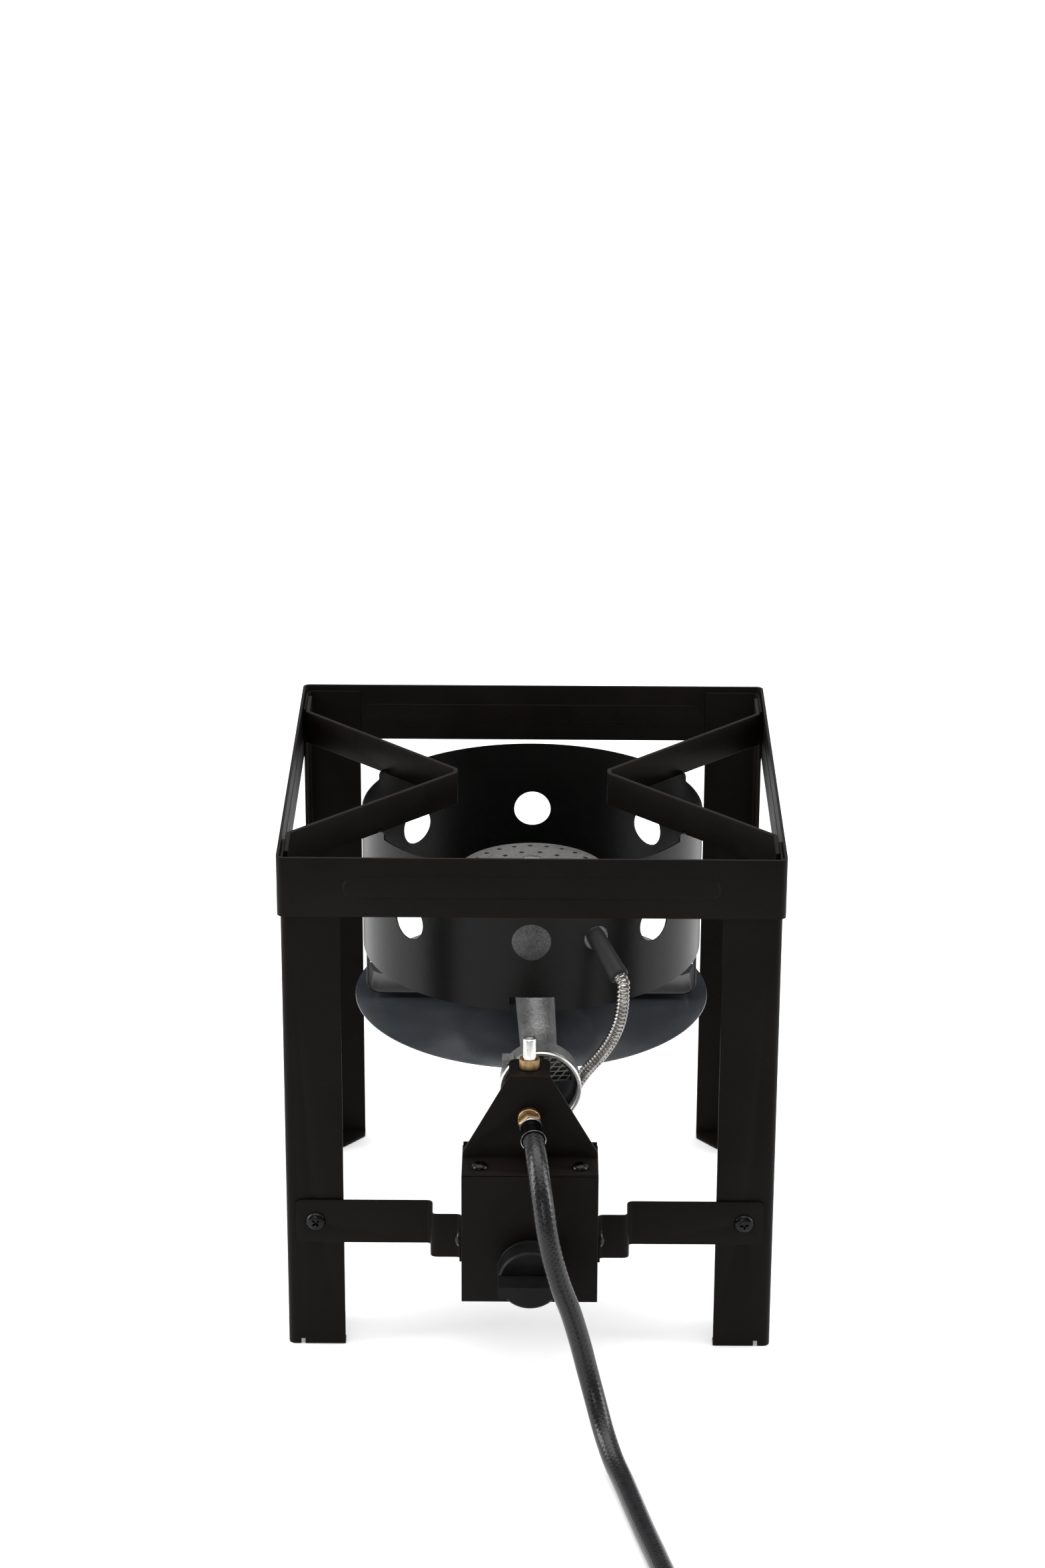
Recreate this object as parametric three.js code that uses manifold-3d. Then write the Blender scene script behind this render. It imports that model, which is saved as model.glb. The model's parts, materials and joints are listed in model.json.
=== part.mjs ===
// Propane burner stand: a square pot stand with a cast burner in a wind shroud, a timer box with a
// push-button safety valve, and a gas hose with its regulator. Millimetres, +Z up, front towards -Y.
// The origin is on the floor. Lengths below are measured from the middle of the stand's square frame, and
// the whole is moved back at the end so that the frame and the knob together are centred on the origin.
import * as THREE from "three";
import { mergeVertices } from "three/addons/utils/BufferGeometryUtils.js";
import Module from "manifold-3d";

const wasm = await Module();
wasm.setup();

// ---- driving dimensions ----------------------------------------------------------------------
const GAP = 0.3; // clearance between pieces that touch
const STAND_WIDTH = 356;
const STAND_DEPTH = 342;
const STAND_HEIGHT = 387;
const BAND = { height: 44.5, sheet: 2, corner: 5, bead: { length: 264, height: 16, rise: 1.4 } };
const LEG = { flange: 41.5, sheet: 2, bend: 4.5, top: 383, footDepth: 28, footInset: 12, chamfer: [16, 19] };
const BAR = { sheet: 3, bottom: 359.5, top: 384.5, apex: 53, apexHalf: 7, flangeEnd: 152 };
const SHROUD = { radius: 125.6, sheet: 1.2, bottom: 249, top: 356.5, hole: 14, holeZ: 303, holes: 8 };
const NOTCH = { left: -16, right: 17.5, top: 259.7 };
const EAR = { halfAngle: 4, rise: 5.5 };
const STRAP = { width: 32, sheet: 1.5, bottom: 210.9, half: 122.9, top: 300, screwZ: 286 };
const SHIELD = { radius: 132, sheet: 1, top: 207, bore: 4.5 };
const BURNER = { yaw: 1.6, base: 212.8, rim: 294, radius: 62, bore: 4.4 };
const HEAD = { bottom: 294.3, top: 309, radius: 61.5 };
const BELL = { x: 2.3, z: 208.5, radius: 29.3, wall: 3, front: -170, back: -143, floor: -147 };
const TUBE = { start: [2.2, -146, 220.6], end: [0, -45, 243.2], radii: [13, 14.9], bore: 10 };
const SHUTTER = { y: -160.8, sheet: 1.2, radius: 25.6, bore: 6.5, window: [8, 82] };
const SCREEN = { y: -156.5, sheet: 1, radius: 25.9 };
const BOX = { half: 48, front: -239, back: -191, bottom: 75.6, top: 175.3, sheet: 1.2 };
const BRACKET = { half: 47.7, sheet: 1.8, plateFront: -214, shoulder: 181, top: 240.7 };
const SHELF = { left: -15.2, right: 13.8, back: -185.7, corner: 6 };
const VALVE = { x: -0.8, y: -199.1, z: 209, radius: 10, bottom: 188, top: 238.4 };
const PORT = { angle: 8, z: 199 };
const BUTTON = { radius: 4.55, top: 263.4, shoulder: 240, stem: 2.2, foot: 222 };
const KNOB = { x: 0.4, z: 103, radius: 23.2, back: -239.6, front: -258.6 };
const GRIP = { front: -275.5, half: 4.5 };
const BOX_STRAP = { bottom: 84.8, top: 119.1, sheet: 1.5, end: 168.8, joggle: 70.6, corner: 4.5, bend: 4 };
const BOX_STRAP_FLANGE = { front: -191.2, reach: -222, slope: 14 };
const STRAP_SCREW = { x: 154.5, z: 101.8, radius: 3 };
const SIDE_SCREW = { y: -207, z: 109.7, radius: 2.6 };
const FOOT_SCREW = { x: 35.2, y: -228.7, head: 5.7, radius: 2 };
const HOSE = { radius: 7.5, sides: 8 };
const COIL = { x: 14, y: -611, outer: 84, inner: 68.6, lift: 1.1 };
const CONDUIT = { radius: 4.75, sides: 8 };
const PROBE = { angle: 21.8, z: 303, hole: 9.2 };

const LEG_X = STAND_WIDTH / 2 - BAND.sheet - GAP;
const LEG_Y = STAND_DEPTH / 2 - BAND.sheet - GAP;
const BAND_BOTTOM = STAND_HEIGHT - BAND.height;

// ---- materials -------------------------------------------------------------------------------
function finish(color, roughness, metalness) {
  return new THREE.MeshStandardMaterial({ color, roughness, metalness });
}

const powderCoat = finish(0x242220, 0.55, 0.2);
const shieldPaint = finish(0x2b2d33, 0.35, 0.4);
const castAluminium = finish(0x9a9a97, 0.6, 0.8);
const castIron = finish(0x55534f, 0.8, 0.5);
const zincSteel = finish(0xb8bbbd, 0.35, 0.9);
const stainless = finish(0xb4b2ac, 0.3, 1);
const brass = finish(0xa98a55, 0.4, 0.9);
const blackScrew = finish(0x17171a, 0.35, 0.6);
const blackPlastic = finish(0x16161a, 0.5, 0);
const rubber = finish(0x151517, 0.6, 0);

// ---- solids ----------------------------------------------------------------------------------
function toSolid(geometry) {
  const bare = geometry.clone();
  bare.deleteAttribute("normal");
  bare.deleteAttribute("uv");
  const merged = mergeVertices(bare, 1e-4);
  const points = merged.getAttribute("position").array;
  const faces = [];
  const index = merged.index.array;
  for (let i = 0; i < index.length; i += 3) {
    const [a, b, c] = [index[i], index[i + 1], index[i + 2]];
    if (a !== b && b !== c && a !== c) faces.push([a, b, c]);
  }
  const outward = signedVolume(points, faces) > 0;
  const triVerts = new Uint32Array(faces.flatMap(([a, b, c]) => (outward ? [a, b, c] : [a, c, b])));
  const mesh = new wasm.Mesh({ numProp: 3, vertProperties: new Float32Array(points), triVerts });
  mesh.merge();
  return new wasm.Manifold(mesh);
}

function signedVolume(points, faces) {
  const corner = (n) => new THREE.Vector3(points[3 * n], points[3 * n + 1], points[3 * n + 2]);
  let total = 0;
  for (const [a, b, c] of faces) total += corner(a).dot(corner(b).cross(corner(c)));
  return total / 6;
}

function toGeometry(solid) {
  const mesh = solid.getMesh();
  const flat = new THREE.BufferGeometry();
  flat.setAttribute("position", new THREE.BufferAttribute(new Float32Array(mesh.vertProperties), 3));
  flat.setIndex(new THREE.BufferAttribute(new Uint32Array(mesh.triVerts), 1));
  flat.computeVertexNormals();
  return flat;
}

function join(...geometries) {
  return toGeometry(geometries.map(toSolid).reduce((sum, next) => sum.add(next)));
}

function cut(geometry, ...tools) {
  return toGeometry(tools.map(toSolid).reduce((rest, tool) => rest.subtract(tool), toSolid(geometry)));
}

function common(first, second) {
  return toGeometry(toSolid(first).intersect(toSolid(second)));
}

// A block between two opposite corners.
function block(x0, x1, y0, y1, z0, z1) {
  const shape = new THREE.BoxGeometry(Math.abs(x1 - x0), Math.abs(y1 - y0), Math.abs(z1 - z0));
  return shape.translate((x0 + x1) / 2, (y0 + y1) / 2, (z0 + z1) / 2);
}

// A turned solid about +Z: profile points are [radius, height].
function turned(profile, segments = 24) {
  const points = profile.map(([r, z]) => new THREE.Vector2(r, z));
  return new THREE.LatheGeometry(points, segments).rotateX(Math.PI / 2);
}

// A turned solid about the line from one point towards another: profile is [radius, distance].
function turnedAlong(from, to, profile, segments = 16) {
  const start = new THREE.Vector3(...from);
  const direction = new THREE.Vector3(...to).sub(start).normalize();
  const turn = new THREE.Quaternion().setFromUnitVectors(new THREE.Vector3(0, 0, 1), direction);
  return turned(profile, segments).applyQuaternion(turn).translate(...from);
}

// A plain rod between two points.
function rod(from, to, radius, segments = 12) {
  const length = new THREE.Vector3(...from).distanceTo(new THREE.Vector3(...to));
  return turnedAlong(from, to, [[0, 0], [radius, 0], [radius, length], [0, length]], segments);
}

// A rod with a through hole.
function sleeve(from, to, outer, inner, segments = 12) {
  const length = new THREE.Vector3(...from).distanceTo(new THREE.Vector3(...to));
  const profile = [[inner, 0], [outer, 0], [outer, length], [inner, length], [inner, 0]];
  return turnedAlong(from, to, profile, segments);
}

// An outline in the XY plane raised from z0 to z1.
function raised(shape, z0, z1, curveSegments = 8) {
  const options = { depth: z1 - z0, bevelEnabled: false, curveSegments };
  return new THREE.ExtrudeGeometry(shape, options).translate(0, 0, z0);
}

function roundedRectangle(x0, x1, y0, y1, radius) {
  const shape = new THREE.Shape();
  shape.absarc(x1 - radius, y1 - radius, radius, 0, Math.PI / 2);
  shape.absarc(x0 + radius, y1 - radius, radius, Math.PI / 2, Math.PI);
  shape.absarc(x0 + radius, y0 + radius, radius, Math.PI, 1.5 * Math.PI);
  shape.absarc(x1 - radius, y0 + radius, radius, 1.5 * Math.PI, 2 * Math.PI);
  return shape;
}

function polygon(points) {
  return new THREE.Shape(points.map(([x, y]) => new THREE.Vector2(x, y)));
}

// The outline of a bent flat bar: a line of points thickened to both sides, with mitred bends.
function bentBar(points, thickness) {
  const line = points.map(([x, y]) => new THREE.Vector2(x, y));
  const directions = line.slice(1).map((p, i) => p.clone().sub(line[i]).normalize());
  const offset = (n, side) => {
    const before = directions[Math.max(n - 1, 0)];
    const after = directions[Math.min(n, directions.length - 1)];
    const mean = new THREE.Vector2(-before.y - after.y, before.x + after.x).normalize();
    const reach = (side * thickness) / 2 / mean.dot(new THREE.Vector2(-before.y, before.x));
    return line[n].clone().add(mean.multiplyScalar(reach));
  };
  const left = line.map((_, n) => offset(n, 1));
  const right = line.map((_, n) => offset(n, -1)).reverse();
  return new THREE.Shape([...left, ...right]);
}

// A line of (x, y) points with each inner corner turned into an arc of the given radius.
function withBends(points, radius) {
  const line = points.map(([x, y]) => new THREE.Vector2(x, y));
  const bends = line.slice(1, -1).flatMap((corner, n) => {
    const before = line[n].clone().sub(corner).normalize().multiplyScalar(radius).add(corner);
    const after = line[n + 2].clone().sub(corner).normalize().multiplyScalar(radius).add(corner);
    return new THREE.QuadraticBezierCurve(before, corner, after).getPoints(4).map(({ x, y }) => [x, y]);
  });
  return [points[0], ...bends, points[points.length - 1]];
}

// A tube along a smooth curve through a list of points.
function tubeAlong(points, radius, sides, steps) {
  const path = new THREE.CatmullRomCurve3(points.map((p) => new THREE.Vector3(...p)), false, "centripetal");
  const ring = [];
  for (let n = 0; n < sides; n += 1) {
    const angle = (2 * Math.PI * n) / sides;
    ring.push([radius * Math.cos(angle), radius * Math.sin(angle)]);
  }
  return new THREE.ExtrudeGeometry(polygon(ring), { steps, extrudePath: path, bevelEnabled: false });
}

function hexagon(from, to, acrossFlats) {
  return rod(from, to, acrossFlats / Math.sqrt(3), 6);
}

function flipped(geometry, x, y) {
  return geometry.clone().scale(x, y, 1);
}

function radians(degrees) {
  return THREE.MathUtils.degToRad(degrees);
}

// ---- placing ---------------------------------------------------------------------------------
const stand = new THREE.Group();

function addPiece(group, name, geometry, material) {
  const piece = new THREE.Mesh(toGeometry(toSolid(geometry)), material);
  piece.name = name;
  group.add(piece);
}

// ---- frame -----------------------------------------------------------------------------------
function bead(length) {
  const half = BAND.bead.height / 2;
  const outline = new THREE.Shape();
  outline.absarc(length / 2 - half, 0, half, -Math.PI / 2, Math.PI / 2);
  outline.absarc(half - length / 2, 0, half, Math.PI / 2, 1.5 * Math.PI);
  const bevel = { bevelThickness: BAND.bead.rise, bevelSize: BAND.bead.rise, bevelOffset: -BAND.bead.rise };
  const options = { depth: 1, bevelSegments: 1, curveSegments: 4, ...bevel };
  return new THREE.ExtrudeGeometry(outline, options).translate(0, 0, -1).rotateX(Math.PI / 2);
}

function topFrame() {
  const [x, y] = [STAND_WIDTH / 2, STAND_DEPTH / 2];
  const outline = roundedRectangle(-x, x, -y, y, BAND.corner);
  const inner = BAND.sheet;
  outline.holes.push(roundedRectangle(-x + inner, x - inner, -y + inner, y - inner, BAND.corner - inner));
  const middle = STAND_HEIGHT - BAND.height / 2;
  const front = bead(BAND.bead.length).translate(0, -y, middle);
  const sideLength = BAND.bead.length - STAND_WIDTH + STAND_DEPTH;
  const side = bead(sideLength).rotateZ(Math.PI / 2).translate(x, 0, middle);
  const beads = [front, flipped(front, 1, -1), side, flipped(side, -1, 1)];
  return join(raised(outline, BAND_BOTTOM, STAND_HEIGHT, 4), ...beads);
}

// The front left leg: an angle of bent sheet, with a chamfered foot folded in from its front flange.
// Only the front legs have the hole for a box strap's screw.
function leg(screwed) {
  const { flange, sheet, bend } = LEG;
  const outline = new THREE.Shape();
  outline.moveTo(flange, 0);
  outline.lineTo(flange, sheet);
  outline.absarc(bend, bend, bend - sheet, 1.5 * Math.PI, Math.PI, true);
  outline.lineTo(sheet, flange);
  outline.lineTo(0, flange);
  outline.absarc(bend, bend, bend, Math.PI, 1.5 * Math.PI);
  const post = raised(outline, 0, LEG.top, 5);
  const [chamferX, chamferY] = LEG.chamfer;
  const foot = polygon([
    [LEG.footInset, 1],
    [flange, 1],
    [flange, LEG.footDepth - chamferY],
    [flange - chamferX, LEG.footDepth],
    [LEG.footInset, LEG.footDepth],
  ]);
  const reliefSlot = block(LEG.footInset - 3, LEG.footInset, -1, sheet + 1, -1, 4);
  const screwX = LEG_X - STRAP_SCREW.x;
  const screwHole = rod([screwX, -5, STRAP_SCREW.z], [screwX, 5, STRAP_SCREW.z], 3.4);
  const cuts = screwed ? [reliefSlot, screwHole] : [reliefSlot];
  return cut(join(post, raised(foot, 0, sheet)), ...cuts).translate(-LEG_X, -LEG_Y, 0);
}

// The left pot bar: one flat bar on edge, bent into a V that reaches in over the burner.
function potBar() {
  const wall = -(LEG_X - LEG.sheet - GAP - BAR.sheet / 2);
  const bendY = -wall - BAR.apex;
  const tip = -BAR.apex - BAR.apexHalf / 2;
  const line = [
    [wall, -BAR.flangeEnd],
    [wall, -bendY],
    [tip, -BAR.apexHalf / 2],
    [tip, BAR.apexHalf / 2],
    [wall, bendY],
    [wall, BAR.flangeEnd],
  ];
  const slot = turned(
    [
      [SHROUD.radius - SHROUD.sheet - 0.5, 340],
      [SHROUD.radius + 0.5, 340],
      [SHROUD.radius + 0.5, SHROUD.top + EAR.rise + 0.4],
      [SHROUD.radius - SHROUD.sheet - 0.5, SHROUD.top + EAR.rise + 0.4],
      [SHROUD.radius - SHROUD.sheet - 0.5, 340],
    ],
    48,
  );
  return cut(raised(bentBar(line, BAR.sheet), BAR.bottom, BAR.top), slot);
}

const frameGroup = new THREE.Group();
stand.add(frameGroup);
addPiece(frameGroup, "top_frame", topFrame(), powderCoat);
const corners = [["front_left", 1, 1], ["front_right", -1, 1], ["back_left", 1, -1], ["back_right", -1, -1]];
for (const [place, x, y] of corners) {
  addPiece(frameGroup, `leg_${place}`, flipped(leg(y > 0), x, y), powderCoat);
}
addPiece(frameGroup, "pot_bar_left", potBar(), powderCoat);
addPiece(frameGroup, "pot_bar_right", flipped(potBar(), -1, 1), powderCoat);

// ---- wind shroud, strap and heat shield -------------------------------------------------------
function shroudRing(bottom, top) {
  const inner = SHROUD.radius - SHROUD.sheet;
  const outer = SHROUD.radius;
  return turned([[inner, bottom], [outer, bottom], [outer, top], [inner, top], [inner, bottom]], 48);
}

// Where a pot bar's middle line crosses the shroud, as an angle from the -X axis.
function earAngle() {
  const half = BAR.apex / 2;
  const x = -half - Math.sqrt(SHROUD.radius ** 2 / 2 - half ** 2);
  return Math.atan2(x + BAR.apex, x);
}

function windShroud() {
  const reach = SHROUD.radius + 10;
  const radial = (angle, z, radius) => {
    const tip = [reach * Math.sin(angle), -reach * Math.cos(angle), z];
    return rod([tip[0] * 0.7, tip[1] * 0.7, z], tip, radius, 14);
  };
  const vents = [];
  for (let n = 0; n < SHROUD.holes; n += 1) {
    vents.push(radial((2 * Math.PI * n) / SHROUD.holes, SHROUD.holeZ, SHROUD.hole));
  }
  vents.push(radial(radians(PROBE.angle), PROBE.z, PROBE.hole));
  vents.push(radial(Math.PI / 2, STRAP.screwZ, 2.8));
  vents.push(radial(-Math.PI / 2, STRAP.screwZ, 2.8));
  const notch = block(NOTCH.left, NOTCH.right, -reach, -100, SHROUD.bottom - 5, NOTCH.top);
  const earRing = shroudRing(SHROUD.top - 1, SHROUD.top + EAR.rise);
  const ears = [];
  for (const side of [1, -1]) {
    for (const end of [1, -1]) {
      const angle = earAngle();
      const centre = [side * SHROUD.radius * Math.cos(angle), end * SHROUD.radius * Math.sin(angle)];
      const half = SHROUD.radius * radians(EAR.halfAngle);
      const slice = block(-20, 20, -half, half, SHROUD.top - 3, SHROUD.top + 20);
      slice.rotateZ(Math.atan2(centre[1], centre[0])).translate(centre[0], centre[1], 0);
      ears.push(common(earRing, slice));
    }
  }
  return cut(join(shroudRing(SHROUD.bottom, SHROUD.top), ...ears), ...vents, notch);
}

function burnerStrap() {
  const half = STRAP.half - STRAP.sheet / 2;
  const low = STRAP.bottom + STRAP.sheet / 2;
  const line = [
    [-half, STRAP.top],
    [-half, low + 8],
    [-half + 2.4, low + 2.4],
    [-half + 8, low],
    [half - 8, low],
    [half - 2.4, low + 2.4],
    [half, low + 8],
    [half, STRAP.top],
  ];
  const bar = raised(bentBar(line, STRAP.sheet), -STRAP.width / 2, STRAP.width / 2).rotateX(Math.PI / 2);
  const boltHole = rod([0, 0, STRAP.bottom - 5], [0, 0, STRAP.bottom + 8], SHIELD.bore);
  const screwHole = rod([-200, 0, STRAP.screwZ], [200, 0, STRAP.screwZ], 2.8);
  return cut(bar, boltHole, screwHole);
}

function heatShield() {
  const { radius, sheet, top, bore } = SHIELD;
  const low = top - sheet;
  const edge = [[radius - 0.25, low], [radius, low + 0.25], [radius, top - 0.25], [radius - 0.25, top]];
  return turned([[bore, low], ...edge, [bore, top], [bore, low]], 64);
}

// The plain ring round the bolt that holds the shield clear of the strap.
function shieldSpacer() {
  return sleeve([0, 0, SHIELD.top + GAP], [0, 0, STRAP.bottom - GAP], 9, SHIELD.bore, 24);
}

// A round-headed screw: its head sits at one point and its shank runs towards another.
function roundHeadScrew(head, towards, headRadius, headHeight, shankRadius, length) {
  const profile = [
    [0, -headHeight],
    [headRadius * 0.55, -headHeight],
    [headRadius * 0.85, -headHeight * 0.72],
    [headRadius, -headHeight * 0.3],
    [headRadius, 0],
    [shankRadius, 0],
    [shankRadius, length],
    [0, length],
  ];
  return turnedAlong(head, towards, profile, 12);
}

const burnerGroup = new THREE.Group();
stand.add(burnerGroup);
addPiece(burnerGroup, "wind_shroud", windShroud(), powderCoat);
addPiece(burnerGroup, "burner_strap", burnerStrap(), powderCoat);
addPiece(burnerGroup, "heat_shield", heatShield(), shieldPaint);
addPiece(burnerGroup, "shield_spacer", shieldSpacer(), zincSteel);
for (const [place, side] of [["left", -1], ["right", 1]]) {
  const head = [side * (SHROUD.radius + GAP), 0, STRAP.screwZ];
  const screw = roundHeadScrew(head, [0, 0, STRAP.screwZ], 5, 2.4, 2.4, 12);
  addPiece(burnerGroup, `shroud_screw_${place}`, screw, blackScrew);
  const face = side * (STRAP.half - STRAP.sheet - GAP);
  const nut = cut(
    hexagon([face, 0, STRAP.screwZ], [face - side * 4, 0, STRAP.screwZ], 8),
    rod([face + side * 5, 0, STRAP.screwZ], [face - side * 9, 0, STRAP.screwZ], 2.7),
  );
  addPiece(burnerGroup, `shroud_nut_${place}`, nut, zincSteel);
}

// ---- burner ----------------------------------------------------------------------------------
function burnerCasting() {
  const { base, rim, radius, bore } = BURNER;
  const bowl = turned(
    [
      [bore, base],
      [15, base],
      [15, 226],
      [22, 229],
      [46, 240],
      [58, 258],
      [radius, 280],
      [radius, rim],
      [radius - 5, rim],
      [radius - 5, 281],
      [radius - 9, 260],
      [42, 246],
      [13, 243],
      [10, rim - 2],
      [bore, rim - 2],
      [bore, base],
    ],
    32,
  );
  const tubeLength = new THREE.Vector3(...TUBE.start).distanceTo(new THREE.Vector3(...TUBE.end));
  const [narrow, wide] = TUBE.radii;
  const tubeProfile = [[0, 0], [narrow, 0], [wide, tubeLength], [0, tubeLength]];
  const tube = turnedAlong(TUBE.start, TUBE.end, tubeProfile, 20);
  const { x, z, wall, front, back, floor } = BELL;
  const inner = BELL.radius - wall;
  const cupProfile = [
    [0, 0],
    [BELL.radius - 1, 0],
    [BELL.radius, 1.2],
    [BELL.radius, back - front],
    [0, back - front],
  ];
  const cup = turnedAlong([x, front, z], [x, back, z], cupProfile, 32);
  const hollow = rod([x, front - 1, z], [x, floor, z], inner, 32);
  const tubeBore = rod(stretched(TUBE.start, TUBE.end, -8), stretched(TUBE.end, TUBE.start, -4), TUBE.bore);
  const lug = block(x - 27, x - 19, front + 1, front + 12, z + 17, z + 23);
  const body = join(bowl, cut(join(tube, cut(join(cup, lug), hollow)), bowlInside(), boltColumn(13.6)));
  return cut(body, clippedBore(tubeBore));
}

// The point on the line from a to b, a distance beyond a (negative is outside the pair).
function stretched(a, b, distance) {
  const start = new THREE.Vector3(...a);
  const direction = new THREE.Vector3(...b).sub(start).normalize();
  return start.addScaledVector(direction, distance).toArray();
}

function bowlInside() {
  const wall = [[13.5, 243.2], [42, 246.2], [53, 260], [57, 281], [57, 300], [13.5, 300], [13.5, 243.2]];
  return turned(wall, 32);
}

function boltColumn(radius) {
  return rod([0, 0, 200], [0, 0, 300], radius, 24);
}

// The mixing bore stops short of the bolt column in the middle of the bowl.
function clippedBore(bore) {
  return cut(bore, boltColumn(15));
}

function burnerHead() {
  const { bottom, top, radius } = HEAD;
  const dome = turned(
    [
      [BURNER.bore, bottom],
      [radius, bottom],
      [radius, bottom + 4],
      [radius - 5, top - 6],
      [22, top - 2],
      [14, top],
      [BURNER.bore, top],
      [BURNER.bore, bottom],
    ],
    32,
  );
  const ports = [];
  for (const [count, ring] of [[24, 47], [14, 31]]) {
    for (let n = 0; n < count; n += 1) {
      const angle = (2 * Math.PI * n) / count;
      const [x, y] = [ring * Math.cos(angle), ring * Math.sin(angle)];
      ports.push(rod([x, y, bottom - 1], [x, y, top + 1], 2, 6));
    }
  }
  return cut(dome, ...ports);
}

function burnerBolt() {
  return join(
    hexagon([0, 0, HEAD.top + GAP], [0, 0, HEAD.top + GAP + 5.5], 13),
    rod([0, 0, 196], [0, 0, HEAD.top + GAP + 0.5], 4, 16),
  );
}

function burnerNut() {
  const top = SHIELD.top - SHIELD.sheet - GAP;
  return cut(hexagon([0, 0, top - 6.5], [0, 0, top], 13), rod([0, 0, top - 10], [0, 0, top + 2], 4.3, 16));
}

// Expanded mesh over the mouth of the mixing tube: a disc with rows of diamond openings.
function airScreen() {
  const disc = new THREE.Shape();
  disc.absarc(0, 0, SCREEN.radius, 0, 2 * Math.PI);
  const [stepX, stepY] = [9, 5.4];
  for (let row = -3; row <= 3; row += 1) {
    for (let column = -2; column <= 2; column += 1) {
      const x = (column + (row % 2 === 0 ? 0 : 0.5)) * stepX;
      const y = row * stepY;
      if (Math.hypot(Math.abs(x) + 3.6, Math.abs(y)) > SCREEN.radius - 1.2) continue;
      disc.holes.push(new THREE.Path(
        [[x - 3.6, y], [x, y - 2], [x + 3.6, y], [x, y + 2]].map(([u, v]) => new THREE.Vector2(u, v)),
      ));
    }
  }
  return raised(disc, 0, SCREEN.sheet, 12).rotateX(Math.PI / 2).translate(0, SCREEN.y + SCREEN.sheet, 0);
}

// The air shutter: a disc with two open quarters, turned by hand to set the air.
function airShutter() {
  const [from, to] = SHUTTER.window.map(radians);
  const window = (turn) => {
    const wedge = new THREE.Shape();
    wedge.absarc(0, 0, SHUTTER.radius - 3, from + turn, to + turn);
    wedge.absarc(0, 0, 9.5, to + turn, from + turn, true);
    return raised(wedge, -5, 5, 5);
  };
  const disc = raised(circle(SHUTTER.radius), 0, SHUTTER.sheet, 12);
  const bore = raised(circle(SHUTTER.bore), -5, 5, 6);
  const grip = block(-1.5, 1.5, -24, -18, 0.5, 5);
  const plate = join(cut(disc, window(0), window(Math.PI), bore), grip);
  return plate.rotateX(Math.PI / 2).translate(0, SHUTTER.y + SHUTTER.sheet, 0);
}

function circle(radius) {
  const shape = new THREE.Shape();
  shape.absarc(0, 0, radius, 0, 2 * Math.PI);
  return shape;
}

const turnedBurner = new THREE.Group();
turnedBurner.rotation.z = radians(BURNER.yaw);
burnerGroup.add(turnedBurner);
addPiece(turnedBurner, "burner_casting", burnerCasting(), castAluminium);
addPiece(turnedBurner, "burner_head", burnerHead(), castIron);
addPiece(turnedBurner, "burner_bolt", burnerBolt(), zincSteel);
addPiece(turnedBurner, "burner_nut", burnerNut(), zincSteel);
const bellGroup = new THREE.Group();
bellGroup.position.set(BELL.x, 0, BELL.z);
turnedBurner.add(bellGroup);
addPiece(bellGroup, "air_screen", airScreen(), zincSteel);
addPiece(bellGroup, "air_shutter", airShutter(), shieldPaint);

// ---- timer box, its straps and its bracket ------------------------------------------------------
function controlBox() {
  const { half, front, back, bottom, top, sheet } = BOX;
  const outside = block(-half, half, front, back, bottom, top);
  const inside = block(-half + sheet, half - sheet, front + sheet, back + 1, bottom + sheet, top - sheet);
  const shaftHole = rod([KNOB.x, front - 5, KNOB.z], [KNOB.x, front + 5, KNOB.z], 4.2);
  const sideHole = rod([-half - 5, SIDE_SCREW.y, SIDE_SCREW.z], [half + 5, SIDE_SCREW.y, SIDE_SCREW.z], 3);
  const footHoles = [-1, 1].map((side) => {
    const x = side * FOOT_SCREW.x;
    return rod([x, FOOT_SCREW.y, top - 5], [x, FOOT_SCREW.y, top + 5], 2.4);
  });
  return cut(outside, inside, shaftHole, sideHole, ...footHoles);
}

function rearCover() {
  const { half, back, bottom, top } = BOX;
  const plate = block(-half + 0.5, half - 0.5, back + GAP, back + GAP + 1.2, bottom + 0.5, top + 2);
  const tab = block(-half + 3, -half + 8, back - 5, back + GAP + 0.5, top + GAP, top + 2);
  return join(plate, tab, flipped(tab, -1, 1));
}

function timerBody() {
  const { x, z } = KNOB;
  const face = BOX.front + BOX.sheet + GAP;
  const caseBlock = block(x - 22, x + 22, face, face + 30, z - 22, z + 26);
  const shaftHole = rod([x, face - 5, z], [x, face + 12, z], 3.4);
  const terminals = block(x - 8, x + 8, face + 29, face + 36, z - 14, z - 4);
  return join(cut(caseBlock, shaftHole), terminals);
}

function timerKnob() {
  const { x, z, radius, back, front } = KNOB;
  const depth = back - front;
  const skirt = turnedAlong(
    [x, back, z],
    [x, front, z],
    [[0, 0], [radius, 0], [radius - 0.5, depth - 2], [radius - 2.2, depth], [0, depth]],
    28,
  );
  const barEnd = radius - 0.4;
  const barOutline = roundedRectangle(-barEnd, barEnd, -GRIP.half, GRIP.half, 1.5);
  const bar = raised(barOutline, 0, back - GRIP.front, 3);
  const grip = common(
    bar.rotateX(Math.PI / 2).translate(x, back - 1, z),
    rod([x, back, z], [x, GRIP.front, z], radius - 0.3, 28),
  );
  return cut(join(skirt, grip), rod([x, back + 5, z], [x, front - 6, z], 3.4));
}

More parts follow.
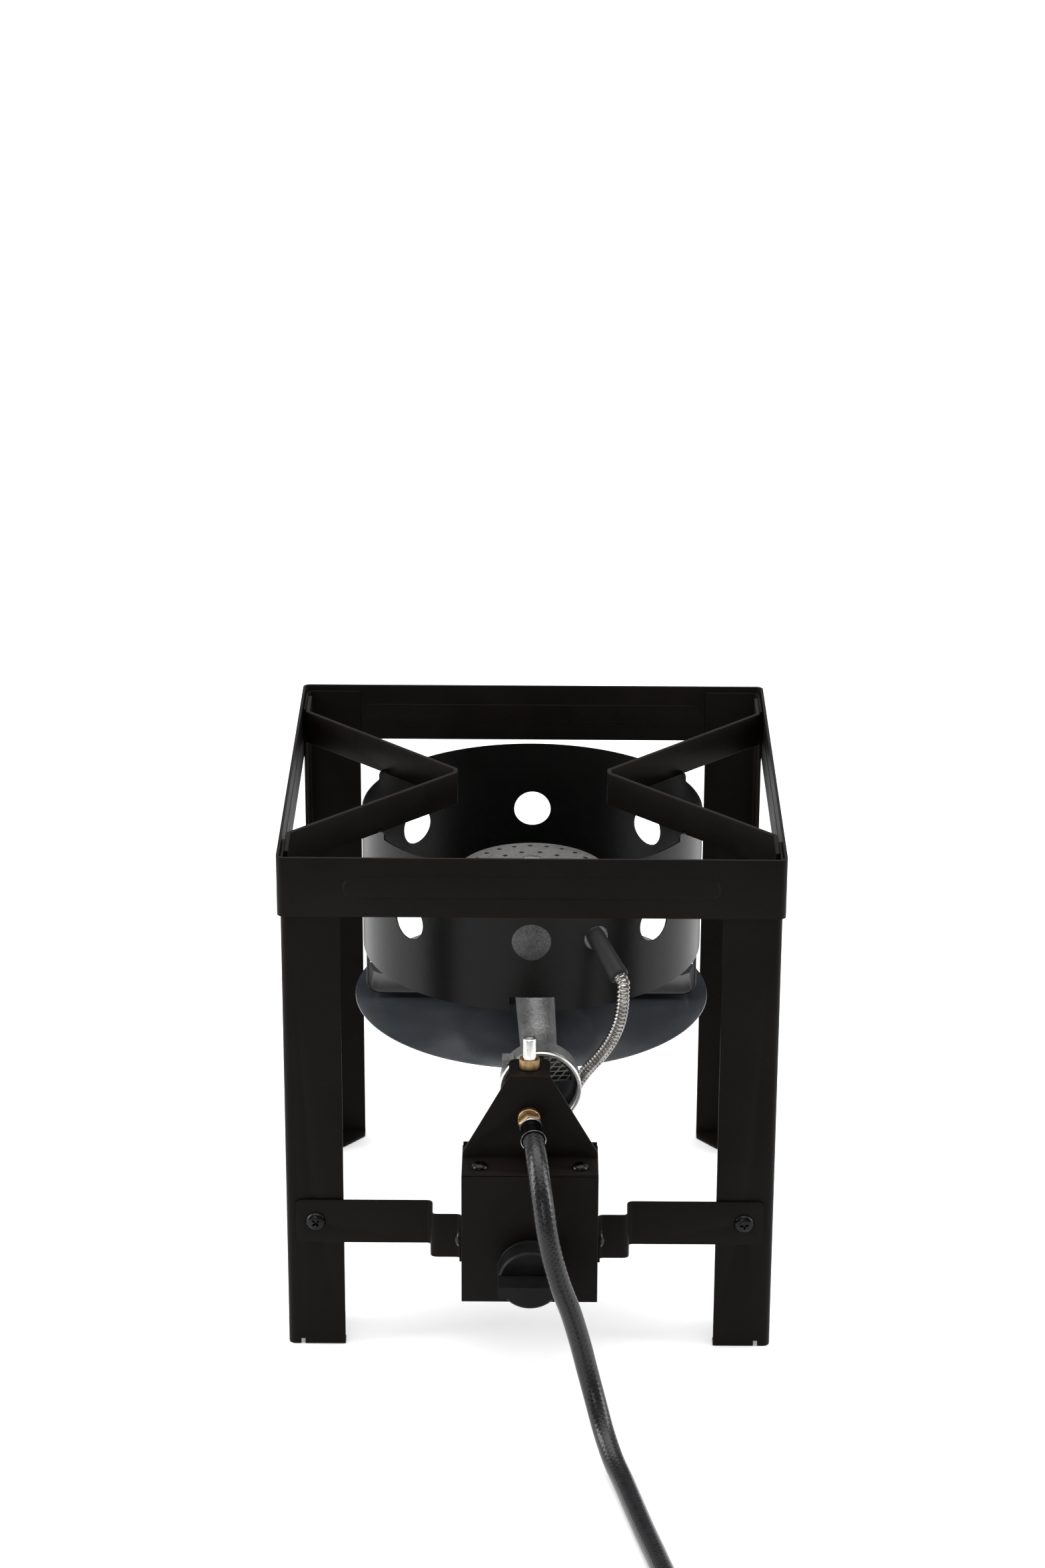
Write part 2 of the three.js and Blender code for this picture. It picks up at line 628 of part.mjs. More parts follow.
function boxStrap() {
  const { bottom, top, sheet, end, joggle, bend, corner: radius } = BOX_STRAP;
  const { front, reach, slope } = BOX_STRAP_FLANGE;
  const near = -LEG_Y - GAP - sheet / 2;
  const far = front + sheet / 2;
  const side = -(BOX.half + GAP + sheet / 2);
  const line = [[-end, near], [-joggle, near], [-joggle, far], [side, far], [side, reach]];
  const bar = raised(bentBar(withBends(line, bend), sheet), bottom, top);
  const corner = (z, inward) => {
    const centre = z + inward * radius;
    const square = block(-end - 1, -end + radius, near - 5, near + 5, z - inward, centre);
    return cut(square, rod([-end + radius, near - 6, centre], [-end + radius, near + 6, centre], radius));
  };
  const slant = polygon([
    [reach - 1, bottom - 1],
    [front - 4, bottom - 1],
    [front - 4, bottom],
    [reach - 1, bottom + slope],
  ]);
  const underside = raised(slant, side - 3, side + 3).rotateX(Math.PI / 2).rotateZ(Math.PI / 2);
  const slotEnd = (x) => rod([x, near - 5, STRAP_SCREW.z], [x, near + 5, STRAP_SCREW.z], 3.3);
  const [slotLeft, slotRight] = [-STRAP_SCREW.x - 4, -STRAP_SCREW.x + 4];
  const [slotLow, slotHigh] = [STRAP_SCREW.z - 3.3, STRAP_SCREW.z + 3.3];
  const slotMiddle = block(slotLeft, slotRight, near - 5, near + 5, slotLow, slotHigh);
  const slot = join(slotMiddle, slotEnd(slotLeft), slotEnd(slotRight));
  const sideHole = rod([side - 5, SIDE_SCREW.y, SIDE_SCREW.z], [side + 5, SIDE_SCREW.y, SIDE_SCREW.z], 3);
  return cut(bar, corner(top, -1), corner(bottom, 1), underside, slot, sideHole);
}

function controlBracket() {
  const { half, sheet, plateFront, shoulder, top } = BRACKET;
  const low = BOX.top + GAP;
  const foot = block(-half, half, BOX.front, plateFront + sheet, low, low + sheet);
  const lower = [[-half, low], [half, low], [half, shoulder]];
  const upper = [[SHELF.right, top], [SHELF.left, top], [-half, shoulder]];
  const outline = polygon([...lower, ...upper]);
  const plate = raised(outline, 0, sheet).rotateX(Math.PI / 2).translate(0, plateFront + sheet, 0);
  const radius = SHELF.corner;
  const shelfOutline = new THREE.Shape();
  shelfOutline.moveTo(SHELF.left, plateFront);
  shelfOutline.lineTo(SHELF.right, plateFront);
  shelfOutline.absarc(SHELF.right - radius, SHELF.back - radius, radius, 0, Math.PI / 2);
  shelfOutline.absarc(SHELF.left + radius, SHELF.back - radius, radius, Math.PI / 2, Math.PI);
  const footHoles = [-1, 1].map((side) => {
    const x = side * FOOT_SCREW.x;
    return rod([x, FOOT_SCREW.y, low - 5], [x, FOOT_SCREW.y, low + 5], 2.4);
  });
  return cut(
    join(foot, plate, raised(shelfOutline, top - sheet, top)),
    rod([VALVE.x, plateFront - 5, VALVE.z], [VALVE.x, plateFront + 5, VALVE.z], 8.3),
    rod([VALVE.x, VALVE.y, top - 6], [VALVE.x, VALVE.y, top + 5], 6.3),
    ...footHoles,
  );
}

const controlGroup = new THREE.Group();
stand.add(controlGroup);
addPiece(controlGroup, "control_box", controlBox(), powderCoat);
addPiece(controlGroup, "box_rear_cover", rearCover(), powderCoat);
addPiece(controlGroup, "timer_body", timerBody(), blackPlastic);
const shaftEnds = [[KNOB.x, BOX.front + 11, KNOB.z], [KNOB.x, KNOB.front - 5, KNOB.z]];
addPiece(controlGroup, "timer_shaft", rod(...shaftEnds, 3, 16), zincSteel);
addPiece(controlGroup, "timer_knob", timerKnob(), blackPlastic);
addPiece(controlGroup, "control_bracket", controlBracket(), powderCoat);
for (const [place, side] of [["left", 1], ["right", -1]]) {
  addPiece(controlGroup, `box_strap_${place}`, flipped(boxStrap(), side, 1), powderCoat);
  const strapFace = -LEG_Y - GAP - BOX_STRAP.sheet - GAP;
  const strapHead = [-STRAP_SCREW.x, strapFace, STRAP_SCREW.z];
  const strapAim = [-STRAP_SCREW.x, 0, STRAP_SCREW.z];
  const strapScrew = roundHeadScrew(strapHead, strapAim, 7, 3, STRAP_SCREW.radius, 13);
  addPiece(controlGroup, `strap_screw_${place}`, flipped(strapScrew, side, 1), blackScrew);
  const nutFace = -LEG_Y + LEG.sheet + GAP;
  const nut = cut(
    hexagon([-STRAP_SCREW.x, nutFace, STRAP_SCREW.z], [-STRAP_SCREW.x, nutFace + 5, STRAP_SCREW.z], 10),
    rod([-STRAP_SCREW.x, nutFace - 5, STRAP_SCREW.z], [-STRAP_SCREW.x, nutFace + 9, STRAP_SCREW.z], 3.3),
  );
  addPiece(controlGroup, `strap_nut_${place}`, flipped(nut, side, 1), zincSteel);
  const sideHead = [-(BOX.half + GAP + BOX_STRAP.sheet + GAP), SIDE_SCREW.y, SIDE_SCREW.z];
  const sideScrew = roundHeadScrew(sideHead, [0, SIDE_SCREW.y, SIDE_SCREW.z], 6.4, 3, SIDE_SCREW.radius, 10);
  addPiece(controlGroup, `box_side_screw_${place}`, flipped(sideScrew, side, 1), blackScrew);
  const footHead = [-FOOT_SCREW.x, FOOT_SCREW.y, BOX.top + 2 * GAP + BRACKET.sheet];
  const footAim = [-FOOT_SCREW.x, FOOT_SCREW.y, 0];
  const footScrew = roundHeadScrew(footHead, footAim, FOOT_SCREW.head, 3, FOOT_SCREW.radius, 9);
  addPiece(controlGroup, `bracket_screw_${place}`, flipped(footScrew, side, 1), blackScrew);
}

// ---- safety valve ----------------------------------------------------------------------------
// A point on the probe port's axis, a distance from the valve's axis at (x, y).
function portPoint(x, y, distance) {
  const angle = radians(PORT.angle);
  return [x + distance * Math.cos(angle), y + distance * Math.sin(angle), PORT.z];
}

function valveBody() {
  const { radius, bottom, top, z } = VALVE;
  const barrelProfile = [[0, bottom], [radius - 2, bottom], [radius, bottom + 2], [radius, top], [0, top]];
  const barrel = turned(barrelProfile, 20);
  const inlet = rod([0, 0, z], [0, -12.2, z], 9.2, 16);
  const outlet = rod([0, 0, z], [0, 13, z], 7, 16);
  const sidePort = hexagon([0, 0, PORT.z], portPoint(0, 0, 15), 12);
  const bore = rod([0, 0, 215.5], [0, 0, top + 1], 5.2, 16);
  return cut(join(barrel, inlet, outlet, sidePort), bore);
}

function orifice() {
  return turnedAlong(
    [0, 13 + GAP, VALVE.z],
    [0, 30, VALVE.z],
    [[0.8, 0], [6, 0], [6, 5], [3.4, 6], [2.6, 13], [0.8, 13], [0.8, 0]],
    16,
  );
}

function valveBush() {
  const top = BRACKET.top;
  const bore = BUTTON.radius + 0.1;
  return turned(
    [
      [bore, top - 1.9],
      [6, top - 1.9],
      [6, top + GAP],
      [7.15, top + GAP],
      [7.15, top + 6.6],
      [6.7, top + 7.1],
      [bore, top + 7.1],
      [bore, top - 1.9],
    ],
    20,
  );
}

function valveButton() {
  const { radius, top, shoulder, stem, foot } = BUTTON;
  const lower = [[0, foot], [stem, foot], [stem, shoulder], [radius, shoulder]];
  return turned([...lower, [radius, top - 0.6], [radius - 0.6, top], [0, top]], 20);
}

// The return spring, as the sleeve that it fills.
function valveSpring() {
  return turned([[2.6, 215.8], [4.2, 215.8], [4.2, 239.7], [2.6, 239.7], [2.6, 215.8]], 12);
}

const valveGroup = new THREE.Group();
valveGroup.position.set(VALVE.x, VALVE.y, 0);
controlGroup.add(valveGroup);
addPiece(valveGroup, "valve_body", valveBody(), brass);
addPiece(valveGroup, "gas_orifice", orifice(), brass);
addPiece(valveGroup, "valve_bush", valveBush(), brass);
addPiece(valveGroup, "valve_button", valveButton(), stainless);
addPiece(valveGroup, "valve_spring", valveSpring(), zincSteel);

// ---- flame probe and its conduit ---------------------------------------------------------------
const BOOT_START = [43.4, -111.5, 306.6];
const BOOT_END = [63, -143, 284.3];
const PROBE_TIP = [26, -64.5, 300];

function probeBoot() {
  const length = new THREE.Vector3(...BOOT_START).distanceTo(new THREE.Vector3(...BOOT_END));
  const skirt = [[6.6, length * 0.6], [7, length - 3], [7, length]];
  const profile = [[0, 0], [5.6, 0], [6.7, 5], ...skirt, [0, length]];
  return turnedAlong(BOOT_START, BOOT_END, profile, 20);
}

function flameProbe() {
  const start = stretched(BOOT_START, PROBE_TIP, 2.6);
  const length = new THREE.Vector3(...start).distanceTo(new THREE.Vector3(...PROBE_TIP));
  const profile = [[0, 0], [3, 0], [3, length - 12], [1.8, length - 9], [1.8, length], [0, length]];
  return turnedAlong(start, PROBE_TIP, profile, 16);
}

const CONDUIT_POINTS = [
  stretched(BOOT_END, BOOT_START, -GAP),
  stretched(BOOT_END, BOOT_START, -5),
  [65.2, -149.5, 276.4],
  [64.9, -150.7, 265.9],
  [62.5, -150, 251.2],
  [57.2, -147, 236.4],
  [51, -143.6, 224.5],
  [44.5, -140.3, 214.5],
  [38.5, -136.8, 205],
  [33.5, -135.6, 196],
  [29.5, -135.2, 188],
  [26.3, -137.2, 180.5],
  [24.5, -142.5, 174.5],
  [24.2, -150, 171.5],
  [24.6, -160, 171],
  [26.5, -170, 174],
  [29, -180, 180],
  [29.8, -187.5, 187.5],
  [28.3, -192.4, 194],
  [24.5, -195.2, 198],
  portPoint(VALVE.x, VALVE.y, 21),
  portPoint(VALVE.x, VALVE.y, 18.4),
];

function conduitNut() {
  return sleeve(portPoint(VALVE.x, VALVE.y, 15.3), portPoint(VALVE.x, VALVE.y, 18.1), 5.6, 2, 6);
}

addPiece(burnerGroup, "probe_boot", probeBoot(), rubber);
addPiece(burnerGroup, "flame_probe", flameProbe(), zincSteel);
addPiece(controlGroup, "conduit_nut", conduitNut(), brass);
const conduitTube = tubeAlong(CONDUIT_POINTS, CONDUIT.radius, CONDUIT.sides, 44);
addPiece(controlGroup, "probe_conduit", conduitTube, stainless);

// ---- hose, coil, regulator and tank connector ---------------------------------------------------
const FERRULE_START = [0.3, -225, 207.6];
const FERRULE_END = [2.3, -242, 204.9];

function inletFitting() {
  const from = [VALVE.x, BRACKET.plateFront + 1.9, VALVE.z];
  const to = [VALVE.x, BRACKET.plateFront - 6.5, VALVE.z];
  const hexStart = stretched(FERRULE_START, FERRULE_END, -7);
  const hexEnd = stretched(FERRULE_START, FERRULE_END, -GAP);
  return join(rod(from, to, 7.85, 20), hexagon(hexStart, hexEnd, 14.5));
}

function hoseFerrule() {
  const length = new THREE.Vector3(...FERRULE_START).distanceTo(new THREE.Vector3(...FERRULE_END));
  const collar = [[0, 0], [7.6, 0], [7.7, 1.2], [7.3, 2]];
  const lip = [[7.9, length - 3], [8.9, length - 0.6], [8.9, length], [0, length]];
  return turnedAlong(FERRULE_START, FERRULE_END, [...collar, ...lip], 20);
}

const FLOOR_LINE = HOSE.radius + 0.1;
const LIFT = 2 * HOSE.radius + COIL.lift + 0.4;

// From the ferrule down to the floor, out to the front and up to the coil.
const HOSE_POINTS = [
  stretched(FERRULE_END, FERRULE_START, -GAP),
  stretched(FERRULE_END, FERRULE_START, -6),
  [4.2, -257, 201.6],
  [5.8, -268.5, 195],
  [8.4, -281, 181.5],
  [11.6, -289.5, 162],
  [15.8, -293.5, 141],
  [21.4, -295.5, 121],
  [28.6, -296.5, 101],
  [35, -298, 79],
  [40.4, -301, 58],
  [46, -308, 38.5],
  [52.2, -323, 21],
  [58.4, -343, 11.8],
  [64.6, -364, 8.5],
  [71, -392, FLOOR_LINE],
  [78, -424, FLOOR_LINE],
  [86, -458, FLOOR_LINE],
  [93.5, -492, FLOOR_LINE],
  [97.4, -524, FLOOR_LINE],
  [COIL.x + COIL.outer, COIL.y + 52.5, FLOOR_LINE + COIL.lift],
];

// From the top of the coil, over the incoming hose and round to the regulator.
const TAIL_POINTS = [
  [COIL.x + 14, COIL.y + 68.6, FLOOR_LINE + LIFT],
  [COIL.x + 36, COIL.y + 69, FLOOR_LINE + LIFT],
  [COIL.x + 60, COIL.y + 69, FLOOR_LINE + LIFT],
  [COIL.x + 84, COIL.y + 67, FLOOR_LINE + LIFT],
  [COIL.x + 106, COIL.y + 60, 20.5],
  [COIL.x + 124, COIL.y + 47, 16.5],
  [COIL.x + 137, COIL.y + 30, 15],
  [COIL.x + 144, COIL.y + 10, 17],
  [COIL.x + 147.4, COIL.y - 9, 20.6],
  [COIL.x + 148, COIL.y - 23, 22.8],
  [COIL.x + 148, COIL.y - 34, 23],
];

function hoseCoil() {
  const inner = COIL.inner - HOSE.radius;
  const outer = COIL.outer + HOSE.radius;
  const top = 2 * HOSE.radius + 0.1;
  const edge = 4;
  const profile = [
    [inner, edge],
    [inner + edge, 0.1],
    [outer - edge, 0.1],
    [outer, edge],
    [outer, top - edge],
    [outer - edge, top],
    [inner + edge, top],
    [inner, top - edge],
    [inner, edge],
  ];
  return turned(profile, 32).translate(COIL.x, COIL.y, COIL.lift);
}

function coilTie() {
  const middle = (COIL.outer + COIL.inner) / 2;
  const [half, sheet] = [(COIL.outer - COIL.inner) / 2 + HOSE.radius + 0.7, 1.2];
  const top = 2 * HOSE.radius + COIL.lift + 0.4;
  const outline = roundedRectangle(-half - sheet, half + sheet, 0.05, top + sheet, 5);
  outline.holes.push(roundedRectangle(-half, half, COIL.lift - 0.15, top, 3.8));
  return raised(outline, -5, 5, 2).rotateX(Math.PI / 2).translate(COIL.x - middle, COIL.y, 0);
}

addPiece(stand, "inlet_fitting", inletFitting(), brass);
addPiece(stand, "hose_ferrule", hoseFerrule(), rubber);
addPiece(stand, "gas_hose", tubeAlong(HOSE_POINTS, HOSE.radius, HOSE.sides, 34), rubber);
addPiece(stand, "hose_coil", hoseCoil(), rubber);
addPiece(stand, "hose_tail", tubeAlong(TAIL_POINTS, HOSE.radius, HOSE.sides, 16), rubber);

const REGULATOR = { x: COIL.x + 148, y: COIL.y - 34.3, z: 23, radius: 29 };

function regulatorFerrule() {
  return turned([[0, 0], [8.9, 0], [8.9, 0.6], [7.9, 3], [7.6, 16], [0, 16]], 24).rotateX(Math.PI / 2);
}

function regulatorBody() {
  const centre = -50;
  const housing = turned(
    [
      [0, -22.4], [16, -22.4], [22, -20], [24, -6], [29, -4],
      [29, 4], [25, 5], [23, 15], [19, 18.5], [0, 18.5],
    ],
    24,
  ).translate(0, centre, 0);
  const inlet = hexagon([0, -16.3, 0], [0, centre + 20, 0], 17);
  const outlet = rod([0, centre - 20, 0], [0, centre - 43, 0], 9, 24);
  const noseProfile = [[0, 0], [7, 0], [7, 26], [5, 32], [0, 32]];
  const nose = turnedAlong([0, centre - 42, 0], [0, centre - 78, 0], noseProfile, 20);
  const collar = rod([0, centre - 49, 0], [0, centre - 52, 0], 11.5, 20);
  return join(housing, inlet, outlet, nose, collar);
}

// The hand nut that screws onto the gas bottle, with moulded ribs; it spins on the regulator's nose.
function connectorNut() {
  const [start, length] = [-102.6, 27];
  const ribs = 10;
  const outline = new THREE.Shape();
  for (let n = 0; n < ribs; n += 1) {
    const angle = (2 * Math.PI * n) / ribs;
    const step = Math.PI / ribs;
    outline.absarc(0, 0, 22.4, angle, angle + step * 0.9);
    outline.absarc(0, 0, 20.4, angle + step * 1.1, angle + step * 1.9);
  }
  const grip = raised(outline, 0, length, 3);
  const bore = raised(circle(7.6), -1, length + 1, 10);
  const mouth = raised(circle(15.5), 6, length + 1, 12);
  return cut(grip, bore, mouth).rotateX(Math.PI / 2).translate(0, start, 0);
}

const regulatorGroup = new THREE.Group();
regulatorGroup.position.set(REGULATOR.x, REGULATOR.y, REGULATOR.z);
stand.add(regulatorGroup);
addPiece(regulatorGroup, "regulator_ferrule", regulatorFerrule(), zincSteel);
addPiece(regulatorGroup, "regulator_body", regulatorBody(), castAluminium);
addPiece(regulatorGroup, "connector_nut", connectorNut(), blackPlastic);
addPiece(stand, "coil_tie", coilTie(), blackPlastic);

stand.position.y = -(GRIP.front + STAND_DEPTH / 2 + BAND.bead.rise) / 2;

export default stand;
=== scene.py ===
"""Looks of the propane burner stand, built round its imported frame.

Lengths in this script are stand millimetres: x to the right, y to the back, z up, measured from the floor
under the middle of the square frame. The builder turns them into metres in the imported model's own frame.
"""

import json
import math

import bmesh
import bpy
from mathutils import Matrix, Vector


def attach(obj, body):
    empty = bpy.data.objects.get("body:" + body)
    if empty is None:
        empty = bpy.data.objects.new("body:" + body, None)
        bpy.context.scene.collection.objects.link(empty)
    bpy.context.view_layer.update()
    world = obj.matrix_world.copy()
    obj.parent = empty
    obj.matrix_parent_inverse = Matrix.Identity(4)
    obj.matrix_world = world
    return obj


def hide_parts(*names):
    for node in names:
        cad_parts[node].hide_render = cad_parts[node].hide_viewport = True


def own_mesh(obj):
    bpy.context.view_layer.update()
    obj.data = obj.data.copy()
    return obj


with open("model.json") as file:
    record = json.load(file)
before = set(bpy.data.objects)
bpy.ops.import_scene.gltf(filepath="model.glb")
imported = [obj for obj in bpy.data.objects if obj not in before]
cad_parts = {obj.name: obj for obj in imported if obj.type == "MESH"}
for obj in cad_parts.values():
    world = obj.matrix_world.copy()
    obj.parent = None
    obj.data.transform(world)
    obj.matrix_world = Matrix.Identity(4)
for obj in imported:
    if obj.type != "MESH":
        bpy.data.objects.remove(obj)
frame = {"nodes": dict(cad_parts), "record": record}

# ---- sizes, in stand millimetres --------------------------------------------------------------
STAND_TO_MODEL_Y = 51.55
CAMERA = {"at": (2.42, -2632.3, 1444.4), "lens": 88.70, "pitch": 22.13, "yaw": 0.211, "roll": -0.247}
SHROUD = {"radius": 125.6, "sheet": 1.2, "bottom": 249, "top": 356.5, "hole": 14, "hole_z": 303}
SHROUD_SEAM = (-7 / 8, 9 / 8)
SHROUD_NOTCH = {"left": -16, "right": 17.5, "top": 259.7}
EAR = {"x": 111.3, "y": 58.3, "half": 8.7, "rise": 5.5}
PROBE_HOLE = {"angle": 21.8, "radius": 9.2}
SHIELD = {"radius": 132, "top": 207, "sheet": 1, "bore": 4.5}
BURNER_YAW = 1.6
HEAD = {"bottom": 294.3, "top": 309, "radius": 61.5, "bore": 4.4}
BELL = {"x": 2.3, "z": 208.5, "radius": 29.3, "wall": 3, "front": -170, "length": 27}
TUBE = {"start": (2.2, -146, 220.6), "end": (0, -45, 243.2), "radii": (13, 14.9)}
SCREEN = {"y": -156, "radius": 25.6, "wires": ((2, 3.6), (52, 4.8))}
VALVE = {"x": -0.8, "y": -199.1, "z": 209}
BUSH = {"bottom": 238.8, "seat": 241, "top": 247.8, "radius": 7.15, "bore": 4.65}
BUTTON = {"foot": 222, "shoulder": 240, "top": 263.4, "stem": 2.2, "radius": 4.55}
SPRING = {"bottom": 215.8, "top": 239.7, "radius": 3.4, "wire": 0.8, "turns": 8}
PORT = {"angle": 8, "z": 199}
KNOB = {"x": 0.4, "z": 103, "radius": 23.2, "back": -239.6, "front": -258.6, "grip_front": -275.5}
PLATE_FRONT = -214
HOSE_RADIUS = 7.5
CONDUIT_RADIUS = 4.75
CONDUIT_PITCH = 3.0
COIL = {"x": 14, "y": -611, "outer": 84, "inner": 68.6, "z": 8.7}
FERRULE_START = (0.3, -225, 207.6)
FERRULE_END = (2.3, -242, 204.9)
BOOT_START = (43.4, -111.5, 306.6)
BOOT_END = (63, -143, 284.3)
PROBE_TIP = (26, -64.5, 300)
REGULATOR = (162, -645.3, 23)


def direction(a, b):
    return (Vector(b) - Vector(a)).normalized()


def beyond(a, b, distance):
    """The point past a on the line that comes from b."""
    return tuple(Vector(a) + direction(b, a) * distance)


def port_point(distance):
    angle = math.radians(PORT["angle"])
    x = VALVE["x"] + distance * math.cos(angle)
    y = VALVE["y"] + distance * math.sin(angle)
    return (x, y, PORT["z"])


HOSE_START = beyond(FERRULE_END, FERRULE_START, -2)
HOSE_DROP = [
    HOSE_START,
    beyond(FERRULE_END, FERRULE_START, 6),
    (4.2, -257, 201.6),
    (5.8, -268.5, 195),
    (8.4, -281, 181.5),
    (11.6, -289.5, 162),
    (15.8, -293.5, 141),
    (21.4, -295.5, 121),
    (28.6, -296.5, 101),
    (35, -298, 79),
    (40.4, -301, 58),
    (46, -308, 38.5),
    (52.2, -323, 21),
    (58.4, -343, 11.8),
    (64.6, -364, 8.5),
    (71, -392, 7.6),
    (78, -424, 7.6),
    (86, -458, 7.6),
    (93.5, -492, 7.6),
    (97.4, -524, 7.6),
    (98, -558.5, 8.7),
    (98, -585, 8.7),
]
HOSE_TAIL = [
    (28, -542.4, 22.5),
    (50, -542, 24.1),
    (74, -542, 24.1),
    (98, -544, 24.1),
    (120, -551, 20.5),
    (138, -564, 16.5),
    (151, -581, 15),
    (158, -601, 17),
    (161.4, -620, 20.6),
    (162, -634, 22.8),
    (162, -648, 23),
]
CONDUIT_POINTS = [
    beyond(BOOT_END, BOOT_START, -2),
    beyond(BOOT_END, BOOT_START, 5),
    (65.2, -149.5, 276.4),
    (64.9, -150.7, 265.9),
    (62.5, -150, 251.2),
    (57.2, -147, 236.4),
    (51, -143.6, 224.5),
    (44.5, -140.3, 214.5),
    (38.5, -136.8, 205),
    (33.5, -135.6, 196),
    (29.5, -135.2, 188),
    (26.3, -137.2, 180.5),
    (24.5, -142.5, 174.5),
    (24.2, -150, 171.5),
    (24.6, -160, 171),
    (26.5, -170, 174),
    (29, -180, 180),
    (29.8, -187.5, 187.5),
    (28.3, -192.4, 194),
    (24.5, -195.2, 198),
    port_point(21),
    port_point(18.2),
]


def smooth_line(points, step):
    """Points a step apart along a centripetal Catmull-Rom curve through the given points."""
    knots = [Vector(p) for p in points]
    knots = [knots[0] * 2 - knots[1], *knots, knots[-1] * 2 - knots[-2]]
    dense = []
    for a, b, c, d in zip(knots, knots[1:], knots[2:], knots[3:]):
        t1 = max((b - a).length, 1e-6) ** 0.5
        t2 = t1 + max((c - b).length, 1e-6) ** 0.5
        t3 = t2 + max((d - c).length, 1e-6) ** 0.5
        for n in range(24):
            t = t1 + (t2 - t1) * n / 24
            low = a.lerp(b, t / t1)
            middle = b.lerp(c, (t - t1) / (t2 - t1))
            high = c.lerp(d, (t - t2) / (t3 - t2))
            left = low.lerp(middle, t / t2)
            right = middle.lerp(high, (t - t1) / (t3 - t1))
            dense.append(left.lerp(right, (t - t1) / (t2 - t1)))
    dense.append(knots[-2])
    return evenly(dense, step)


def evenly(points, step):
    lengths = [(b - a).length for a, b in zip(points, points[1:])]
    total = sum(lengths)
    count = max(2, round(total / step))
    result, walked, n = [points[0]], 0.0, 0
    for k in range(1, count):
        wanted = total * k / count
        while walked + lengths[n] < wanted:
            walked += lengths[n]
            n += 1
        result.append(points[n].lerp(points[n + 1], (wanted - walked) / lengths[n]))
    result.append(points[-1])
    return result


def eased(value):
    value = min(max(value, 0), 1)
    return value * value * (3 - 2 * value)


def coil_points():
    """A turn and three quarters, clockwise from above: the outer turn first, then the inner one."""
    points = []
    for sweep in range(0, 631, 15):
        inward = eased((sweep - 305) / 47)
        lift = eased((sweep - 560) / 75)
        radius = COIL["outer"] + (COIL["inner"] - COIL["outer"]) * inward
        angle = math.radians(-sweep)
        x = COIL["x"] + radius * math.cos(angle)
        y = COIL["y"] + radius * math.sin(angle)
        points.append((x, y, COIL["z"] + 11.5 * lift))
    return points


# ---- mesh builder -----------------------------------------------------------------------------
def to_model(point):
    x, y, z = point
    return Vector((x, y + STAND_TO_MODEL_Y, z)) / 1000


